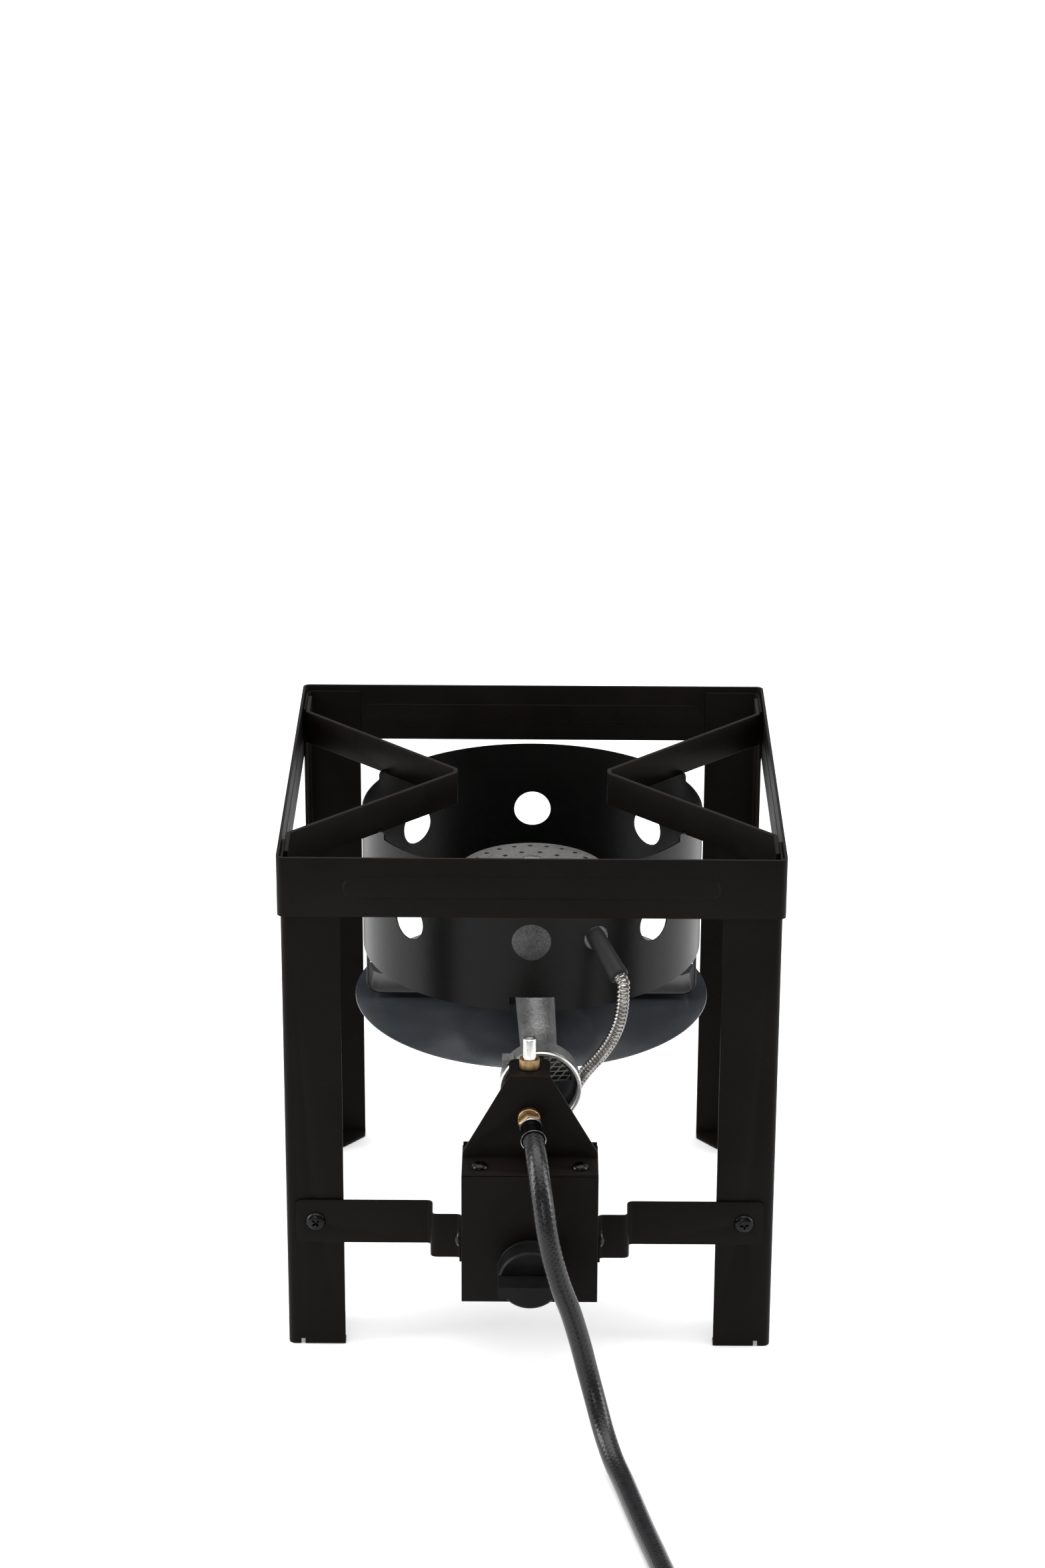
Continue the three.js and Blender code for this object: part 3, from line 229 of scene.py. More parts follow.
class Shape:
    """Gathers parts in stand millimetres into one mesh, then makes it a piece of the model."""

    def __init__(self, turn=None):
        self.bm = bmesh.new()
        self.uv = self.bm.loops.layers.uv.new("UVMap")
        self.turn = turn or Matrix.Identity(4)

    def lathe(self, start, towards, profile, segments=64, material=0, flat=0.0):
        """A turned part: profile is (radius, distance) along the line from start. Ends on the axis close."""
        axis = direction(start, towards)
        side = axis.orthogonal().normalized()
        other = axis.cross(side)
        rings = []
        for radius, distance in profile:
            centre = Vector(start) + axis * distance
            if radius < 1e-6:
                rings.append([self.bm.verts.new(centre)])
                continue
            ring = []
            for n in range(segments):
                angle = 2 * math.pi * n / segments + flat
                ring.append(self.bm.verts.new(
                    centre + (side * math.cos(angle) + other * math.sin(angle)) * radius
                ))
            rings.append(ring)
        for k, (low, high) in enumerate(zip(rings, rings[1:])):
            index = material[k] if isinstance(material, (list, tuple)) else material
            self.strip(low, high, segments, index, profile[k][1], profile[k + 1][1])
        return self

    def strip(self, low, high, segments, material, v0, v1):
        for n in range(segments):
            m = (n + 1) % segments
            if len(low) == 1 and len(high) == 1:
                return
            if len(low) == 1:
                corners, uvs = [low[0], high[m], high[n]], [(n, v0), (n + 1, v1), (n, v1)]
            elif len(high) == 1:
                corners, uvs = [low[n], low[m], high[0]], [(n, v0), (n + 1, v0), (n, v1)]
            else:
                corners = [low[n], low[m], high[m], high[n]]
                uvs = [(n, v0), (n + 1, v0), (n + 1, v1), (n, v1)]
            face = self.bm.faces.new(corners)
            face.material_index = material
            for loop, (u, v) in zip(face.loops, uvs):
                loop[self.uv].uv = (u / segments, v / 1000)

    def tube(self, line, radius, segments=20, material=0):
        """A round tube along a line of points; radius is a number or a function of the distance along."""
        tangents = [direction(a, b) for a, b in zip(line, line[1:])]
        between = [(a + b).normalized() for a, b in zip(tangents, tangents[1:])]
        tangents = [tangents[0], *between, tangents[-1]]
        side = tangents[0].orthogonal().normalized()
        rings, walked, distances = [], 0.0, []
        for n, (point, tangent) in enumerate(zip(line, tangents)):
            side = (side - tangent * side.dot(tangent)).normalized()
            other = tangent.cross(side)
            if n:
                walked += (Vector(point) - Vector(line[n - 1])).length
            size = radius(walked) if callable(radius) else radius
            ring = []
            for k in range(segments):
                angle = 2 * math.pi * k / segments
                out = side * math.cos(angle) + other * math.sin(angle)
                ring.append(self.bm.verts.new(Vector(point) + out * size))
            rings.append(ring)
            distances.append(walked)
        for low, high, v0, v1 in zip(rings, rings[1:], distances, distances[1:]):
            self.strip(low, high, segments, material, v0, v1)
        for ring in (rings[0], rings[-1]):
            self.bm.faces.new(ring).material_index = material
        return self

    def prism(self, outline, place, depth, material=0, taper=1.0):
        """An outline of (x, y) points raised by depth along place's z axis, its foot scaled by taper."""
        low = [self.bm.verts.new(place @ Vector((x * taper, y * taper, 0))) for x, y in outline]
        high = [self.bm.verts.new(place @ Vector((x, y, depth))) for x, y in outline]
        self.bm.faces.new(list(reversed(low))).material_index = material
        self.bm.faces.new(high).material_index = material
        for n in range(len(outline)):
            m = (n + 1) % len(outline)
            self.bm.faces.new([low[n], low[m], high[m], high[n]]).material_index = material
        return self

    def add(self, mesh):
        self.bm.from_mesh(mesh)
        return self

    def soften(self, width, angle=30, segments=2):
        sharp = math.radians(angle)
        edges = [e for e in self.bm.edges if len(e.link_faces) == 2 and e.calc_face_angle(0) > sharp]
        bmesh.ops.bevel(
            self.bm, geom=edges, offset=width, segments=segments, profile=0.6,
            affect="EDGES", clamp_overlap=True,
        )
        return self

    def mesh(self, name, smooth=35):
        for vertex in self.bm.verts:
            vertex.co = self.turn @ vertex.co
        bmesh.ops.recalc_face_normals(self.bm, faces=self.bm.faces)
        result = bpy.data.meshes.new(name)
        self.bm.to_mesh(result)
        self.bm.free()
        result.shade_smooth()
        result.set_sharp_from_angle(angle=math.radians(smooth))
        return result

    def piece(self, name, materials, nodes, smooth=35):
        mesh = self.mesh(name, smooth)
        for vertex in mesh.vertices:
            vertex.co = to_model(vertex.co)
        return placed(name, mesh, materials, nodes)


BODY_OF = {
    node: body
    for body, members in frame["record"]["behaviour"]["bodies"].items()
    for node in members
}


def placed(name, mesh, materials, nodes):
    """Links a mesh whose points are already in the model's frame, in place of the named nodes."""
    piece = bpy.data.objects.new(name, mesh)
    bpy.context.scene.collection.objects.link(piece)
    for material in materials if isinstance(materials, (list, tuple)) else [materials]:
        mesh.materials.append(material)
    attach(piece, BODY_OF[nodes[0]])
    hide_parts(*nodes)
    return piece


def refined(node, material, width=0.35, segments=2, smooth=35):
    """A node's own shape with its edges rounded, as folded, cast or moulded edges are."""
    bm = bmesh.new()
    bm.from_mesh(frame["nodes"][node].data)
    bmesh.ops.remove_doubles(bm, verts=bm.verts, dist=2e-6)
    bmesh.ops.dissolve_limit(bm, angle_limit=math.radians(1), verts=bm.verts, edges=bm.edges)
    sharp = math.radians(28)
    edges = [e for e in bm.edges if len(e.link_faces) == 2 and e.calc_face_angle(0) > sharp]
    bmesh.ops.bevel(
        bm, geom=edges, offset=width / 1000, segments=segments, profile=0.6,
        affect="EDGES", clamp_overlap=True,
    )
    mesh = bpy.data.meshes.new(f"fine_{node}")
    bm.to_mesh(mesh)
    bm.free()
    mesh.shade_smooth()
    mesh.set_sharp_from_angle(angle=math.radians(smooth))
    return placed(f"fine_{node}", mesh, material, [node])


def filled_outline(outer, holes):
    """A flat mesh in the XY plane inside an outline and outside its holes."""
    curve = bpy.data.curves.new("outline", "CURVE")
    curve.dimensions = "2D"
    curve.fill_mode = "BOTH"
    for points in [outer, *holes]:
        spline = curve.splines.new("POLY")
        spline.points.add(len(points) - 1)
        for n, (x, y) in enumerate(points):
            spline.points[n].co = (x, y, 0, 1)
        spline.use_cyclic_u = True
    carrier = bpy.data.objects.new("outline", curve)
    bpy.context.scene.collection.objects.link(carrier)
    bpy.context.view_layer.update()
    mesh = bpy.data.meshes.new_from_object(carrier)
    bpy.data.objects.remove(carrier)
    bpy.data.curves.remove(curve)
    return mesh


def circle(x, y, radius, count=48):
    steps = [2 * math.pi * n / count for n in range(count)]
    return [(x + radius * math.cos(a), y + radius * math.sin(a)) for a in steps]


def carved(mesh, cutters):
    """One mesh with others cut out of it."""
    whole = bpy.data.objects.new("whole", mesh)
    tool = bpy.data.objects.new("tool", cutters)
    for item in (whole, tool):
        bpy.context.scene.collection.objects.link(item)
    modifier = whole.modifiers.new("cut", "BOOLEAN")
    modifier.operation = "DIFFERENCE"
    modifier.solver = "EXACT"
    modifier.object = tool
    bpy.context.view_layer.update()
    result = bpy.data.meshes.new_from_object(whole.evaluated_get(bpy.context.evaluated_depsgraph_get()))
    for item in (whole, tool):
        bpy.data.objects.remove(item)
    return result


# ---- materials --------------------------------------------------------------------------------
class Surface:
    """A node material under construction: noise in the object's own space drives colour, gloss and relief."""

    def __init__(self, name):
        self.material = bpy.data.materials.new(name)
        self.material.use_nodes = True
        self.nodes = self.material.node_tree.nodes
        self.links = self.material.node_tree.links
        self.shader = self.nodes["Principled BSDF"]
        self.space = self.nodes.new("ShaderNodeTexCoord")

    def noise(self, scale, detail=4, roughness=0.55, source="Object", stretch=None):
        texture = self.nodes.new("ShaderNodeTexNoise")
        texture.inputs["Scale"].default_value = scale
        texture.inputs["Detail"].default_value = detail
        texture.inputs["Roughness"].default_value = roughness
        output = self.space.outputs[source]
        if stretch:
            mapping = self.nodes.new("ShaderNodeMapping")
            mapping.inputs["Scale"].default_value = stretch
            self.links.new(output, mapping.inputs["Vector"])
            output = mapping.outputs["Vector"]
        self.links.new(output, texture.inputs["Vector"])
        return texture.outputs["Fac"]

    def ramp(self, value, low, high, to_low=0.0, to_high=1.0):
        node = self.nodes.new("ShaderNodeMapRange")
        for key, number in (("From Min", low), ("From Max", high), ("To Min", to_low), ("To Max", to_high)):
            node.inputs[key].default_value = number
        self.links.new(value, node.inputs["Value"])
        return node.outputs["Result"]

    def mixed(self, factor, first, second):
        node = self.nodes.new("ShaderNodeMix")
        node.data_type = "RGBA"
        self.links.new(factor, node.inputs["Factor"])
        for socket, value in ((node.inputs["A"], first), (node.inputs["B"], second)):
            if isinstance(value, tuple):
                socket.default_value = (*value, 1)
            else:
                self.links.new(value, socket)
        return node.outputs["Result"]

    def math(self, operation, first, second=None):
        node = self.nodes.new("ShaderNodeMath")
        node.operation = operation
        for n, value in enumerate([first] if second is None else [first, second]):
            if isinstance(value, (int, float)):
                node.inputs[n].default_value = value
            else:
                self.links.new(value, node.inputs[n])
        return node.outputs["Value"]

    def colour(self, value):
        self.links.new(value, self.shader.inputs["Base Color"])
        return self

    def gloss(self, value, low, high):
        self.links.new(self.ramp(value, 0.3, 0.7, low, high), self.shader.inputs["Roughness"])
        return self

    def relief(self, value, depth, strength=1.0, under=None):
        node = self.nodes.new("ShaderNodeBump")
        node.inputs["Strength"].default_value = strength
        node.inputs["Distance"].default_value = depth / 1000
        self.links.new(value, node.inputs["Height"])
        if under is not None:
            self.links.new(under, node.inputs["Normal"])
        return node.outputs["Normal"]

    def normal(self, value):
        self.links.new(value, self.shader.inputs["Normal"])
        return self

    def fixed(self, **values):
        for key, value in values.items():
            self.shader.inputs[key.replace("_", " ")].default_value = value
        return self


def powder_coat(name, base, light, low, high, peel=0.05, shine=0.5):
    s = Surface(name)
    patches = s.noise(22, 5)
    speckle = s.noise(1500, 2)
    tone = s.mixed(s.ramp(patches, 0.35, 0.7), base, light)
    dusty = s.ramp(speckle, 0.62, 0.8, 0.0, 0.35)
    s.colour(s.mixed(dusty, tone, tuple(c * 2.2 for c in light)))
    s.gloss(s.math("ADD", s.math("MULTIPLY", patches, 0.5), s.math("MULTIPLY", speckle, 0.5)), low, high)
    coarse = s.relief(s.noise(420, 3), peel * 1.6)
    s.normal(s.relief(s.noise(1300, 2), peel, under=coarse))
    return s.fixed(Specular_IOR_Level=shine).material


def cast_metal(name, dark, light, metallic, depth, low, high):
    s = Surface(name)
    grains = s.noise(620, 6, 0.7)
    patches = s.noise(45, 4)
    tone = s.mixed(s.ramp(grains, 0.3, 0.7), dark, light)
    s.colour(s.mixed(s.ramp(patches, 0.4, 0.75, 0, 0.5), tone, tuple(c * 0.6 for c in dark)))
    s.gloss(grains, low, high)
    pits = s.relief(s.noise(260, 5, 0.65), depth * 1.8)
    s.normal(s.relief(grains, depth, under=pits))
    return s.fixed(Metallic=metallic).material


def turned_metal(name, dark, light, low, high, line=0.006, stain=0.35):
    s = Surface(name)
    patches = s.noise(180, 5, 0.6)
    lines = s.noise(60, 3, 0.6, stretch=(1, 1, 60))
    tone = s.mixed(s.ramp(patches, 0.3, 0.75), light, dark)
    s.colour(s.mixed(s.ramp(lines, 0.35, 0.8, 0, stain), tone, tuple(c * 0.55 for c in dark)))
    s.gloss(s.math("MULTIPLY", s.math("ADD", patches, lines), 0.5), low, high)
    s.normal(s.relief(lines, line))
    return s.fixed(Metallic=1.0).material


def moulded(name, dark, light, low, high, depth=0.02, shine=0.5):
    s = Surface(name)
    texture = s.noise(1900, 3, 0.6)
    patches = s.noise(70, 3)
    s.colour(s.mixed(s.ramp(patches, 0.35, 0.7), dark, light))
    s.gloss(s.math("MULTIPLY", s.math("ADD", patches, texture), 0.5), low, high)
    s.normal(s.relief(texture, depth))
    return s.fixed(Specular_IOR_Level=shine).material


def hose_rubber(name):
    """Black rubber over a braid: two crossed sets of fine helical lines, along the tube's own length."""
    s = Surface(name)
    parts = s.nodes.new("ShaderNodeSeparateXYZ")
    s.links.new(s.space.outputs["UV"], parts.inputs["Vector"])
    around = s.math("MULTIPLY", parts.outputs["X"], 2 * math.pi * 12)
    along = s.math("MULTIPLY", parts.outputs["Y"], 2 * math.pi * 250)
    first = s.math("SINE", s.math("ADD", around, along))
    second = s.math("SINE", s.math("SUBTRACT", around, along))
    braid = s.math("MAXIMUM", first, second)
    patches = s.noise(160, 4)
    tone = s.mixed(s.ramp(patches, 0.35, 0.7), (0.0045, 0.0045, 0.005), (0.009, 0.009, 0.010))
    s.colour(s.mixed(s.ramp(braid, 0.2, 1, 0, 0.5), tone, (0.014, 0.014, 0.015)))
    s.gloss(patches, 0.2, 0.25)
    fine = s.relief(s.noise(1600, 2), 0.02)
    s.normal(s.relief(braid, 0.07, 0.6, under=fine))
    return s.fixed(Specular_IOR_Level=0.26).material


def pale_floor(name):
    s = Surface(name)
    patches = s.noise(3, 3)
    s.colour(s.mixed(patches, (0.86, 0.86, 0.86), (0.89, 0.89, 0.89)))
    s.gloss(patches, 0.5, 0.6)
    return s.fixed(Specular_IOR_Level=0.25).material


COAT = powder_coat(
    "warm_black_coat", (0.003, 0.0023, 0.0019), (0.0048, 0.0037, 0.0031), 0.4, 0.54, shine=0.06,
)
SHROUD_COAT = powder_coat(
    "shroud_coat", (0.0026, 0.0024, 0.0023), (0.004, 0.0037, 0.0035), 0.28, 0.36, shine=0.12,
)
# Painted reflection: the strap gets a lighter copy of the black frame coat. Its base colour is raised to
# stand in for the bright background it reflects at a grazing angle.
STRAP_COAT_WITH_PAINTED_SHEEN = powder_coat("strap_coat_with_painted_sheen", (0.004, 0.0038, 0.0036), (0.0065, 0.006, 0.0057), 0.3, 0.4, shine=0.6)
SHIELD_PAINT = powder_coat("shield_paint", (0.017, 0.019, 0.0225), (0.025, 0.028, 0.032), 0.17, 0.24, 0.015)
CAST_ALUMINIUM = cast_metal("cast_aluminium", (0.11, 0.11, 0.11), (0.33, 0.33, 0.325), 0.85, 0.16, 0.4, 0.62)
CAST_IRON = cast_metal("cast_iron", (0.07, 0.068, 0.066), (0.17, 0.165, 0.16), 0.6, 0.16, 0.6, 0.82)
MACHINED = turned_metal("machined_rim", (0.42, 0.42, 0.42), (0.72, 0.72, 0.71), 0.2, 0.4, stain=0.2)
ZINC = turned_metal("zinc_steel", (0.36, 0.37, 0.38), (0.62, 0.63, 0.64), 0.22, 0.42)
STAINLESS = turned_metal("satin_stainless", (0.50, 0.50, 0.49), (0.74, 0.74, 0.73), 0.18, 0.34, stain=0.15)
CONDUIT_STEEL = turned_metal("conduit_steel", (0.16, 0.15, 0.14), (0.40, 0.385, 0.37), 0.16, 0.28, stain=0.3)
SCREEN_WIRE = cast_metal("screen_wire", (0.5, 0.5, 0.49), (0.72, 0.72, 0.7), 0.25, 0.01, 0.35, 0.55)
BRASS = turned_metal("dull_brass", (0.15, 0.09, 0.042), (0.37, 0.245, 0.125), 0.32, 0.5)
BLACK_SCREW = turned_metal(
    "black_screw", (0.007, 0.0068, 0.0068), (0.026, 0.025, 0.025), 0.2, 0.36, stain=0.2,
)
PLASTIC = moulded("black_plastic", (0.0036, 0.0033, 0.0033), (0.0062, 0.0058, 0.0058), 0.34, 0.46, shine=0.09)
BOOT_RUBBER = moulded("boot_rubber", (0.005, 0.005, 0.0054), (0.009, 0.009, 0.0095), 0.5, 0.66, 0.03, 0.25)
HOSE_RUBBER = hose_rubber("hose_rubber")
TIE = moulded("tie_plastic", (0.012, 0.012, 0.012), (0.022, 0.022, 0.022), 0.35, 0.5)


# ---- camera, light and floor ------------------------------------------------------------------
# Studio lamps, in metres: where each stands, its width and height, and its power in watts.
LAMPS_AIM = (0, 0, 0.25)
LAMPS = {
    "overhead": ((0, 0.3, 2.4), (2.2, 2.0), 30),
    "left_softbox": ((-1.9, -0.2, 1.0), (0.9, 1.6), 44),
    "right_softbox": ((1.9, -0.1, 1.0), (0.9, 1.6), 36),
    "front_fill": ((-0.5, -2.8, 1.1), (0.8, 0.6), 12),
}
SKY = {"energy": 2.2, "angle": 75, "front": 0.16, "back": 0.9}
FLOOR = {"reach": 30, "level": -0.0003}


def add_camera():
    yaw, pitch, roll = (math.radians(CAMERA[k]) for k in ("yaw", "pitch", "roll"))
    side = Vector((math.cos(yaw), math.sin(yaw), 0))
    ahead = Vector((-math.sin(yaw), math.cos(yaw), 0))
    up = Vector((0, 0, 1))
    view = ahead * math.cos(pitch) - up * math.sin(pitch)
    top = ahead * math.sin(pitch) + up * math.cos(pitch)
    right = side * math.cos(roll) - top * math.sin(roll)
    upright = side * math.sin(roll) + top * math.cos(roll)
    data = bpy.data.cameras.new("camera")
    data.lens = CAMERA["lens"]
    data.sensor_width = 36
    data.clip_end = 100
    camera = bpy.data.objects.new("camera", data)
    bpy.context.scene.collection.objects.link(camera)
    camera.matrix_world = Matrix.Translation(to_model(CAMERA["at"])) @ Matrix(
        (right, upright, -view)
    ).transposed().to_4x4()
    bpy.context.scene.camera = camera


def add_light(name, at, towards, size, power):
    data = bpy.data.lights.new(name, "AREA")
    data.shape = "RECTANGLE"
    data.size, data.size_y = size
    data.energy = power
    light = bpy.data.objects.new(name, data)
    bpy.context.scene.collection.objects.link(light)
    light.location = at
    light.rotation_euler = (Vector(towards) - Vector(at)).to_track_quat("-Z", "Y").to_euler()


def add_world():
    """Soft white light, brightest behind the stand and dimmest behind the camera."""
    world = bpy.data.worlds.new("studio")
    world.use_nodes = True
    nodes, links = world.node_tree.nodes, world.node_tree.links
    parts = nodes.new("ShaderNodeSeparateXYZ")
    fade = nodes.new("ShaderNodeMapRange")
    fade_ends = (("From Min", -1), ("From Max", 1), ("To Min", SKY["front"]), ("To Max", SKY["back"]))
    for key, number in fade_ends:
        fade.inputs[key].default_value = number
    links.new(nodes.new("ShaderNodeTexCoord").outputs["Generated"], parts.inputs["Vector"])
    links.new(parts.outputs["Y"], fade.inputs["Value"])
    nodes["Background"].inputs["Color"].default_value = (1, 1, 1, 1)
    links.new(fade.outputs["Result"], nodes["Background"].inputs["Strength"])
    bpy.context.scene.world = world


def add_stage():
    mesh = bpy.data.meshes.new("floor")
    reach, level = FLOOR["reach"], FLOOR["level"]
    corners = [(x * reach, y * reach, level) for x, y in ((-1, -1), (1, -1), (1, 1), (-1, 1))]
    mesh.from_pydata(corners, [], [(0, 1, 2, 3)])
    mesh.materials.append(pale_floor("pale_floor"))
    floor = bpy.data.objects.new("floor", mesh)
    bpy.context.scene.collection.objects.link(floor)
    add_world()
    bpy.context.scene.view_settings.view_transform = "Standard"
    for name, (at, size, power) in LAMPS.items():
        add_light(name, at, LAMPS_AIM, size, power)
    sky = bpy.data.lights.new("broad_sky", "SUN")
    sky.energy = SKY["energy"]
    sky.angle = math.radians(SKY["angle"])
    bpy.context.scene.collection.objects.link(bpy.data.objects.new("broad_sky", sky))


add_camera()
add_stage()
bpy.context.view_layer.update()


# ---- frame ------------------------------------------------------------------------------------
def make_frame():
    refined("top_frame", COAT, 0.5, 2)
    for place in ("front_left", "front_right", "back_left", "back_right"):
        refined(f"leg_{place}", COAT, 0.4)
    for side in ("left", "right"):
        refined(f"pot_bar_{side}", COAT, 0.5)
    refined("burner_strap", STRAP_COAT_WITH_PAINTED_SHEEN, 0.4)


# ---- wind shroud and heat shield --------------------------------------------------------------
def shroud_outline():
    """The unrolled shroud: x is the angle from the front times the radius, y is the height."""
    radius = SHROUD["radius"] - SHROUD["sheet"]
    start, end = (turn * math.pi * radius for turn in SHROUD_SEAM)
    low, top = SHROUD["bottom"], SHROUD["top"]
    notch = SHROUD_NOTCH
    outline = [(start, low), (notch["left"], low), (notch["left"], notch["top"] - 1)]
    outline += [(notch["left"] + 1, notch["top"]), (notch["right"] - 1, notch["top"])]
    outline += [(notch["right"], notch["top"] - 1), (notch["right"], low), (end, low), (end, top)]
    ears = sorted(
        (math.atan2(x, -y) * radius for x in (-EAR["x"], EAR["x"]) for y in (-EAR["y"], EAR["y"])),
        reverse=True,
    )
    for ear in ears:
        half, rise = EAR["half"], EAR["rise"]
        outline += [(ear + half, top), (ear + half, top + rise - 1.5), (ear + half - 1.5, top + rise)]
        outline += [(ear - half + 1.5, top + rise), (ear - half, top + rise - 1.5), (ear - half, top)]
    return outline + [(start, top)]


def make_shroud():
    radius = SHROUD["radius"] - SHROUD["sheet"]
    holes = []
    for n in range(-3, 5):
        holes.append(circle(n * math.pi / 4 * radius, SHROUD["hole_z"], SHROUD["hole"]))
    probe_way = math.radians(PROBE_HOLE["angle"]) * radius
    holes.append(circle(probe_way, SHROUD["hole_z"], PROBE_HOLE["radius"], 36))
    flat = filled_outline(shroud_outline(), holes)
    shape = Shape()
    shape.add(flat)
    steps = 144
    for n in range(1, steps):
        x = (SHROUD_SEAM[0] + 2 * n / steps) * math.pi * radius
        geometry = shape.bm.verts[:] + shape.bm.edges[:] + shape.bm.faces[:]
        bmesh.ops.bisect_plane(shape.bm, geom=geometry, plane_co=(x, 0, 0), plane_no=(1, 0, 0))
    for vertex in shape.bm.verts:
        angle = vertex.co.x / radius
        vertex.co = Vector((radius * math.sin(angle), -radius * math.cos(angle), vertex.co.y))
    bmesh.ops.remove_doubles(shape.bm, verts=shape.bm.verts, dist=0.02)
    back = [f for f in shape.bm.faces if f.normal.dot(f.calc_center_median() * Vector((1, 1, 0))) < 0]
    bmesh.ops.reverse_faces(shape.bm, faces=back)
    grown = bmesh.ops.extrude_face_region(shape.bm, geom=shape.bm.faces[:])
    moved = [item for item in grown["geom"] if isinstance(item, bmesh.types.BMVert)]
    for vertex in moved:
        outward = Vector((vertex.co.x, vertex.co.y, 0)).normalized()
        vertex.co += outward * SHROUD["sheet"]
    shape.piece("rolled_shroud", SHROUD_COAT, ["wind_shroud"], 30)


def make_shield():
    radius, top, bore = SHIELD["radius"], SHIELD["top"], SHIELD["bore"]
    low = top - SHIELD["sheet"]
    profile = [(bore, low), (20, low), (radius - 0.4, low), (radius - 0.1, low + 0.15), (radius, low + 0.5)]
    profile += [(radius - 0.1, top - 0.15), (radius - 0.4, top), (20, top), (bore, top), (bore, low)]
    Shape().lathe((0, 0, 0), (0, 0, 1), profile, 192).piece("turned_shield", SHIELD_PAINT, ["heat_shield"])
    refined("shield_spacer", ZINC, 0.3)


# ---- screws and nuts --------------------------------------------------------------------------
# Right-hand screws: under the head, a point it aims at, head radius and height, shank, length, twist.
SCREWS = {
    "strap_screw": ((154.5, -170.8, 101.8), (154.5, 0, 101.8), 7, 3, 3, 13, 0),
    "box_side_screw": ((50.1, -207, 109.7), (0, -207, 109.7), 6.4, 3, 2.6, 10, 20),
    "bracket_screw": ((35.2, -228.7, 177.7), (35.2, -228.7, 0), 5.7, 3, 2, 9, 30),
    "shroud_screw": ((125.9, 0, 286), (0, 0, 286), 5, 2.4, 2.4, 12, 0),
}


def phillips_mesh(radius, height, shank, length):
    """A domed cross-head screw along -Z from z = 0, its head above."""
    dome = Shape()
    profile = [(0, height), (radius * 0.35, height * 0.98), (radius * 0.6, height * 0.88)]
    profile += [(radius * 0.8, height * 0.68), (radius * 0.93, height * 0.42), (radius, height * 0.14)]
    profile += [(radius * 0.985, 0), (shank, 0), (shank, -length), (0, -length)]
    dome.lathe((0, 0, 0), (0, 0, 1), profile, 48)
    recess = Shape()
    reach, half, deep = radius * 0.52, radius * 0.13, height * 0.75
    arm = [(reach, -half), (reach, half), (half, half)]
    cross = []
    for _ in range(4):
        cross += arm
        arm = [(-y, x) for x, y in arm]
    recess.prism(cross, Matrix.Translation((0, 0, height - deep)), deep + 1, taper=0.55)
    return carved(dome.mesh("dome"), recess.mesh("recess"))


def make_screw(node, head, towards, radius, height, shank, length, material=None, turn=20):
    shape = Shape()
    shape.add(phillips_mesh(radius, height, shank, length))
    outward = direction(towards, head).to_track_quat("Z", "Y").to_matrix().to_4x4()
    place = Matrix.Translation(Vector(head)) @ outward @ Matrix.Rotation(math.radians(turn), 4, "Z")
    for vertex in shape.bm.verts:
        vertex.co = place @ vertex.co
    shape.piece(f"cross_{node}", material or BLACK_SCREW, [node], 28)


def make_screws():
    for place, side, turn in (("left", -1, 42), ("right", 1, 8)):
        for name, (head, aim, radius, height, shank, length, twist) in SCREWS.items():
            x, y, z = head
            start, towards = (side * x, y, z), (side * aim[0], aim[1], aim[2])
            make_screw(f"{name}_{place}", start, towards, radius, height, shank, length, turn=turn + twist)
        refined(f"shroud_nut_{place}", ZINC, 0.4)
        refined(f"strap_nut_{place}", ZINC, 0.4)


# ---- burner -----------------------------------------------------------------------------------
def burner_turn():
    return Matrix.Rotation(math.radians(BURNER_YAW), 4, "Z")


def make_burner():
    bowl = [
        (4.4, 212.8), (14.2, 212.8), (15, 213.6), (15, 225), (16.2, 227), (22, 229), (34, 233.4), (46, 240),
        (53, 248), (58, 258), (61, 269), (62, 280), (62, 293.2), (61.2, 294), (57.8, 294), (57, 293.2),
        (57, 281), (55.6, 270), (53, 260), (48.5, 251.5), (42, 246), (28, 243.6), (13, 243), (10, 292),
        (4.4, 292), (4.4, 212.8),
    ]
    shape = Shape(burner_turn())
    shape.lathe((0, 0, 0), (0, 0, 1), bowl, 96)
    length = (Vector(TUBE["end"]) - Vector(TUBE["start"])).length
    narrow, wide = TUBE["radii"]
    shape.lathe(TUBE["start"], TUBE["end"], [(17, -2.6), (14.6, 1.5), (narrow, 6), (wide, length)], 48)
    x, z, front, radius = BELL["x"], BELL["z"], BELL["front"], BELL["radius"]
    inner, deep = radius - BELL["wall"], BELL["length"]
    cup = [
        (0, 23), (inner - 2, 23), (inner, 21), (inner, 0.6), (inner + 0.5, 0), (radius - 0.9, 0),
        (radius, 0.9), (radius, 4), (radius - 0.8, 5.2), (radius - 0.9, deep - 7), (radius - 3, deep - 2.6),
        (radius - 8, deep), (0, deep),
    ]
    rim = [0, 0, 0, 1, 1, 1, 1, 0, 0, 0, 0, 0]
    shape.lathe((x, front, z), (x, 0, z), cup, 96, rim)
    lug = Matrix.Translation((x - 23, front + 1, z + 20)) @ Matrix.Rotation(-math.pi / 2, 4, "X")
    slotted = [(-4, -3), (4, -3), (4, 1), (2, 3), (1.2, 3), (1.2, 0), (-1.2, 0), (-1.2, 3), (-4, 3)]
    shape.prism(slotted, lug, 11)
    shape.piece("cast_burner", [CAST_ALUMINIUM, MACHINED], ["burner_casting"], 40)
    make_head()
    refined("burner_bolt", ZINC, 0.5)
    refined("burner_nut", ZINC, 0.5)


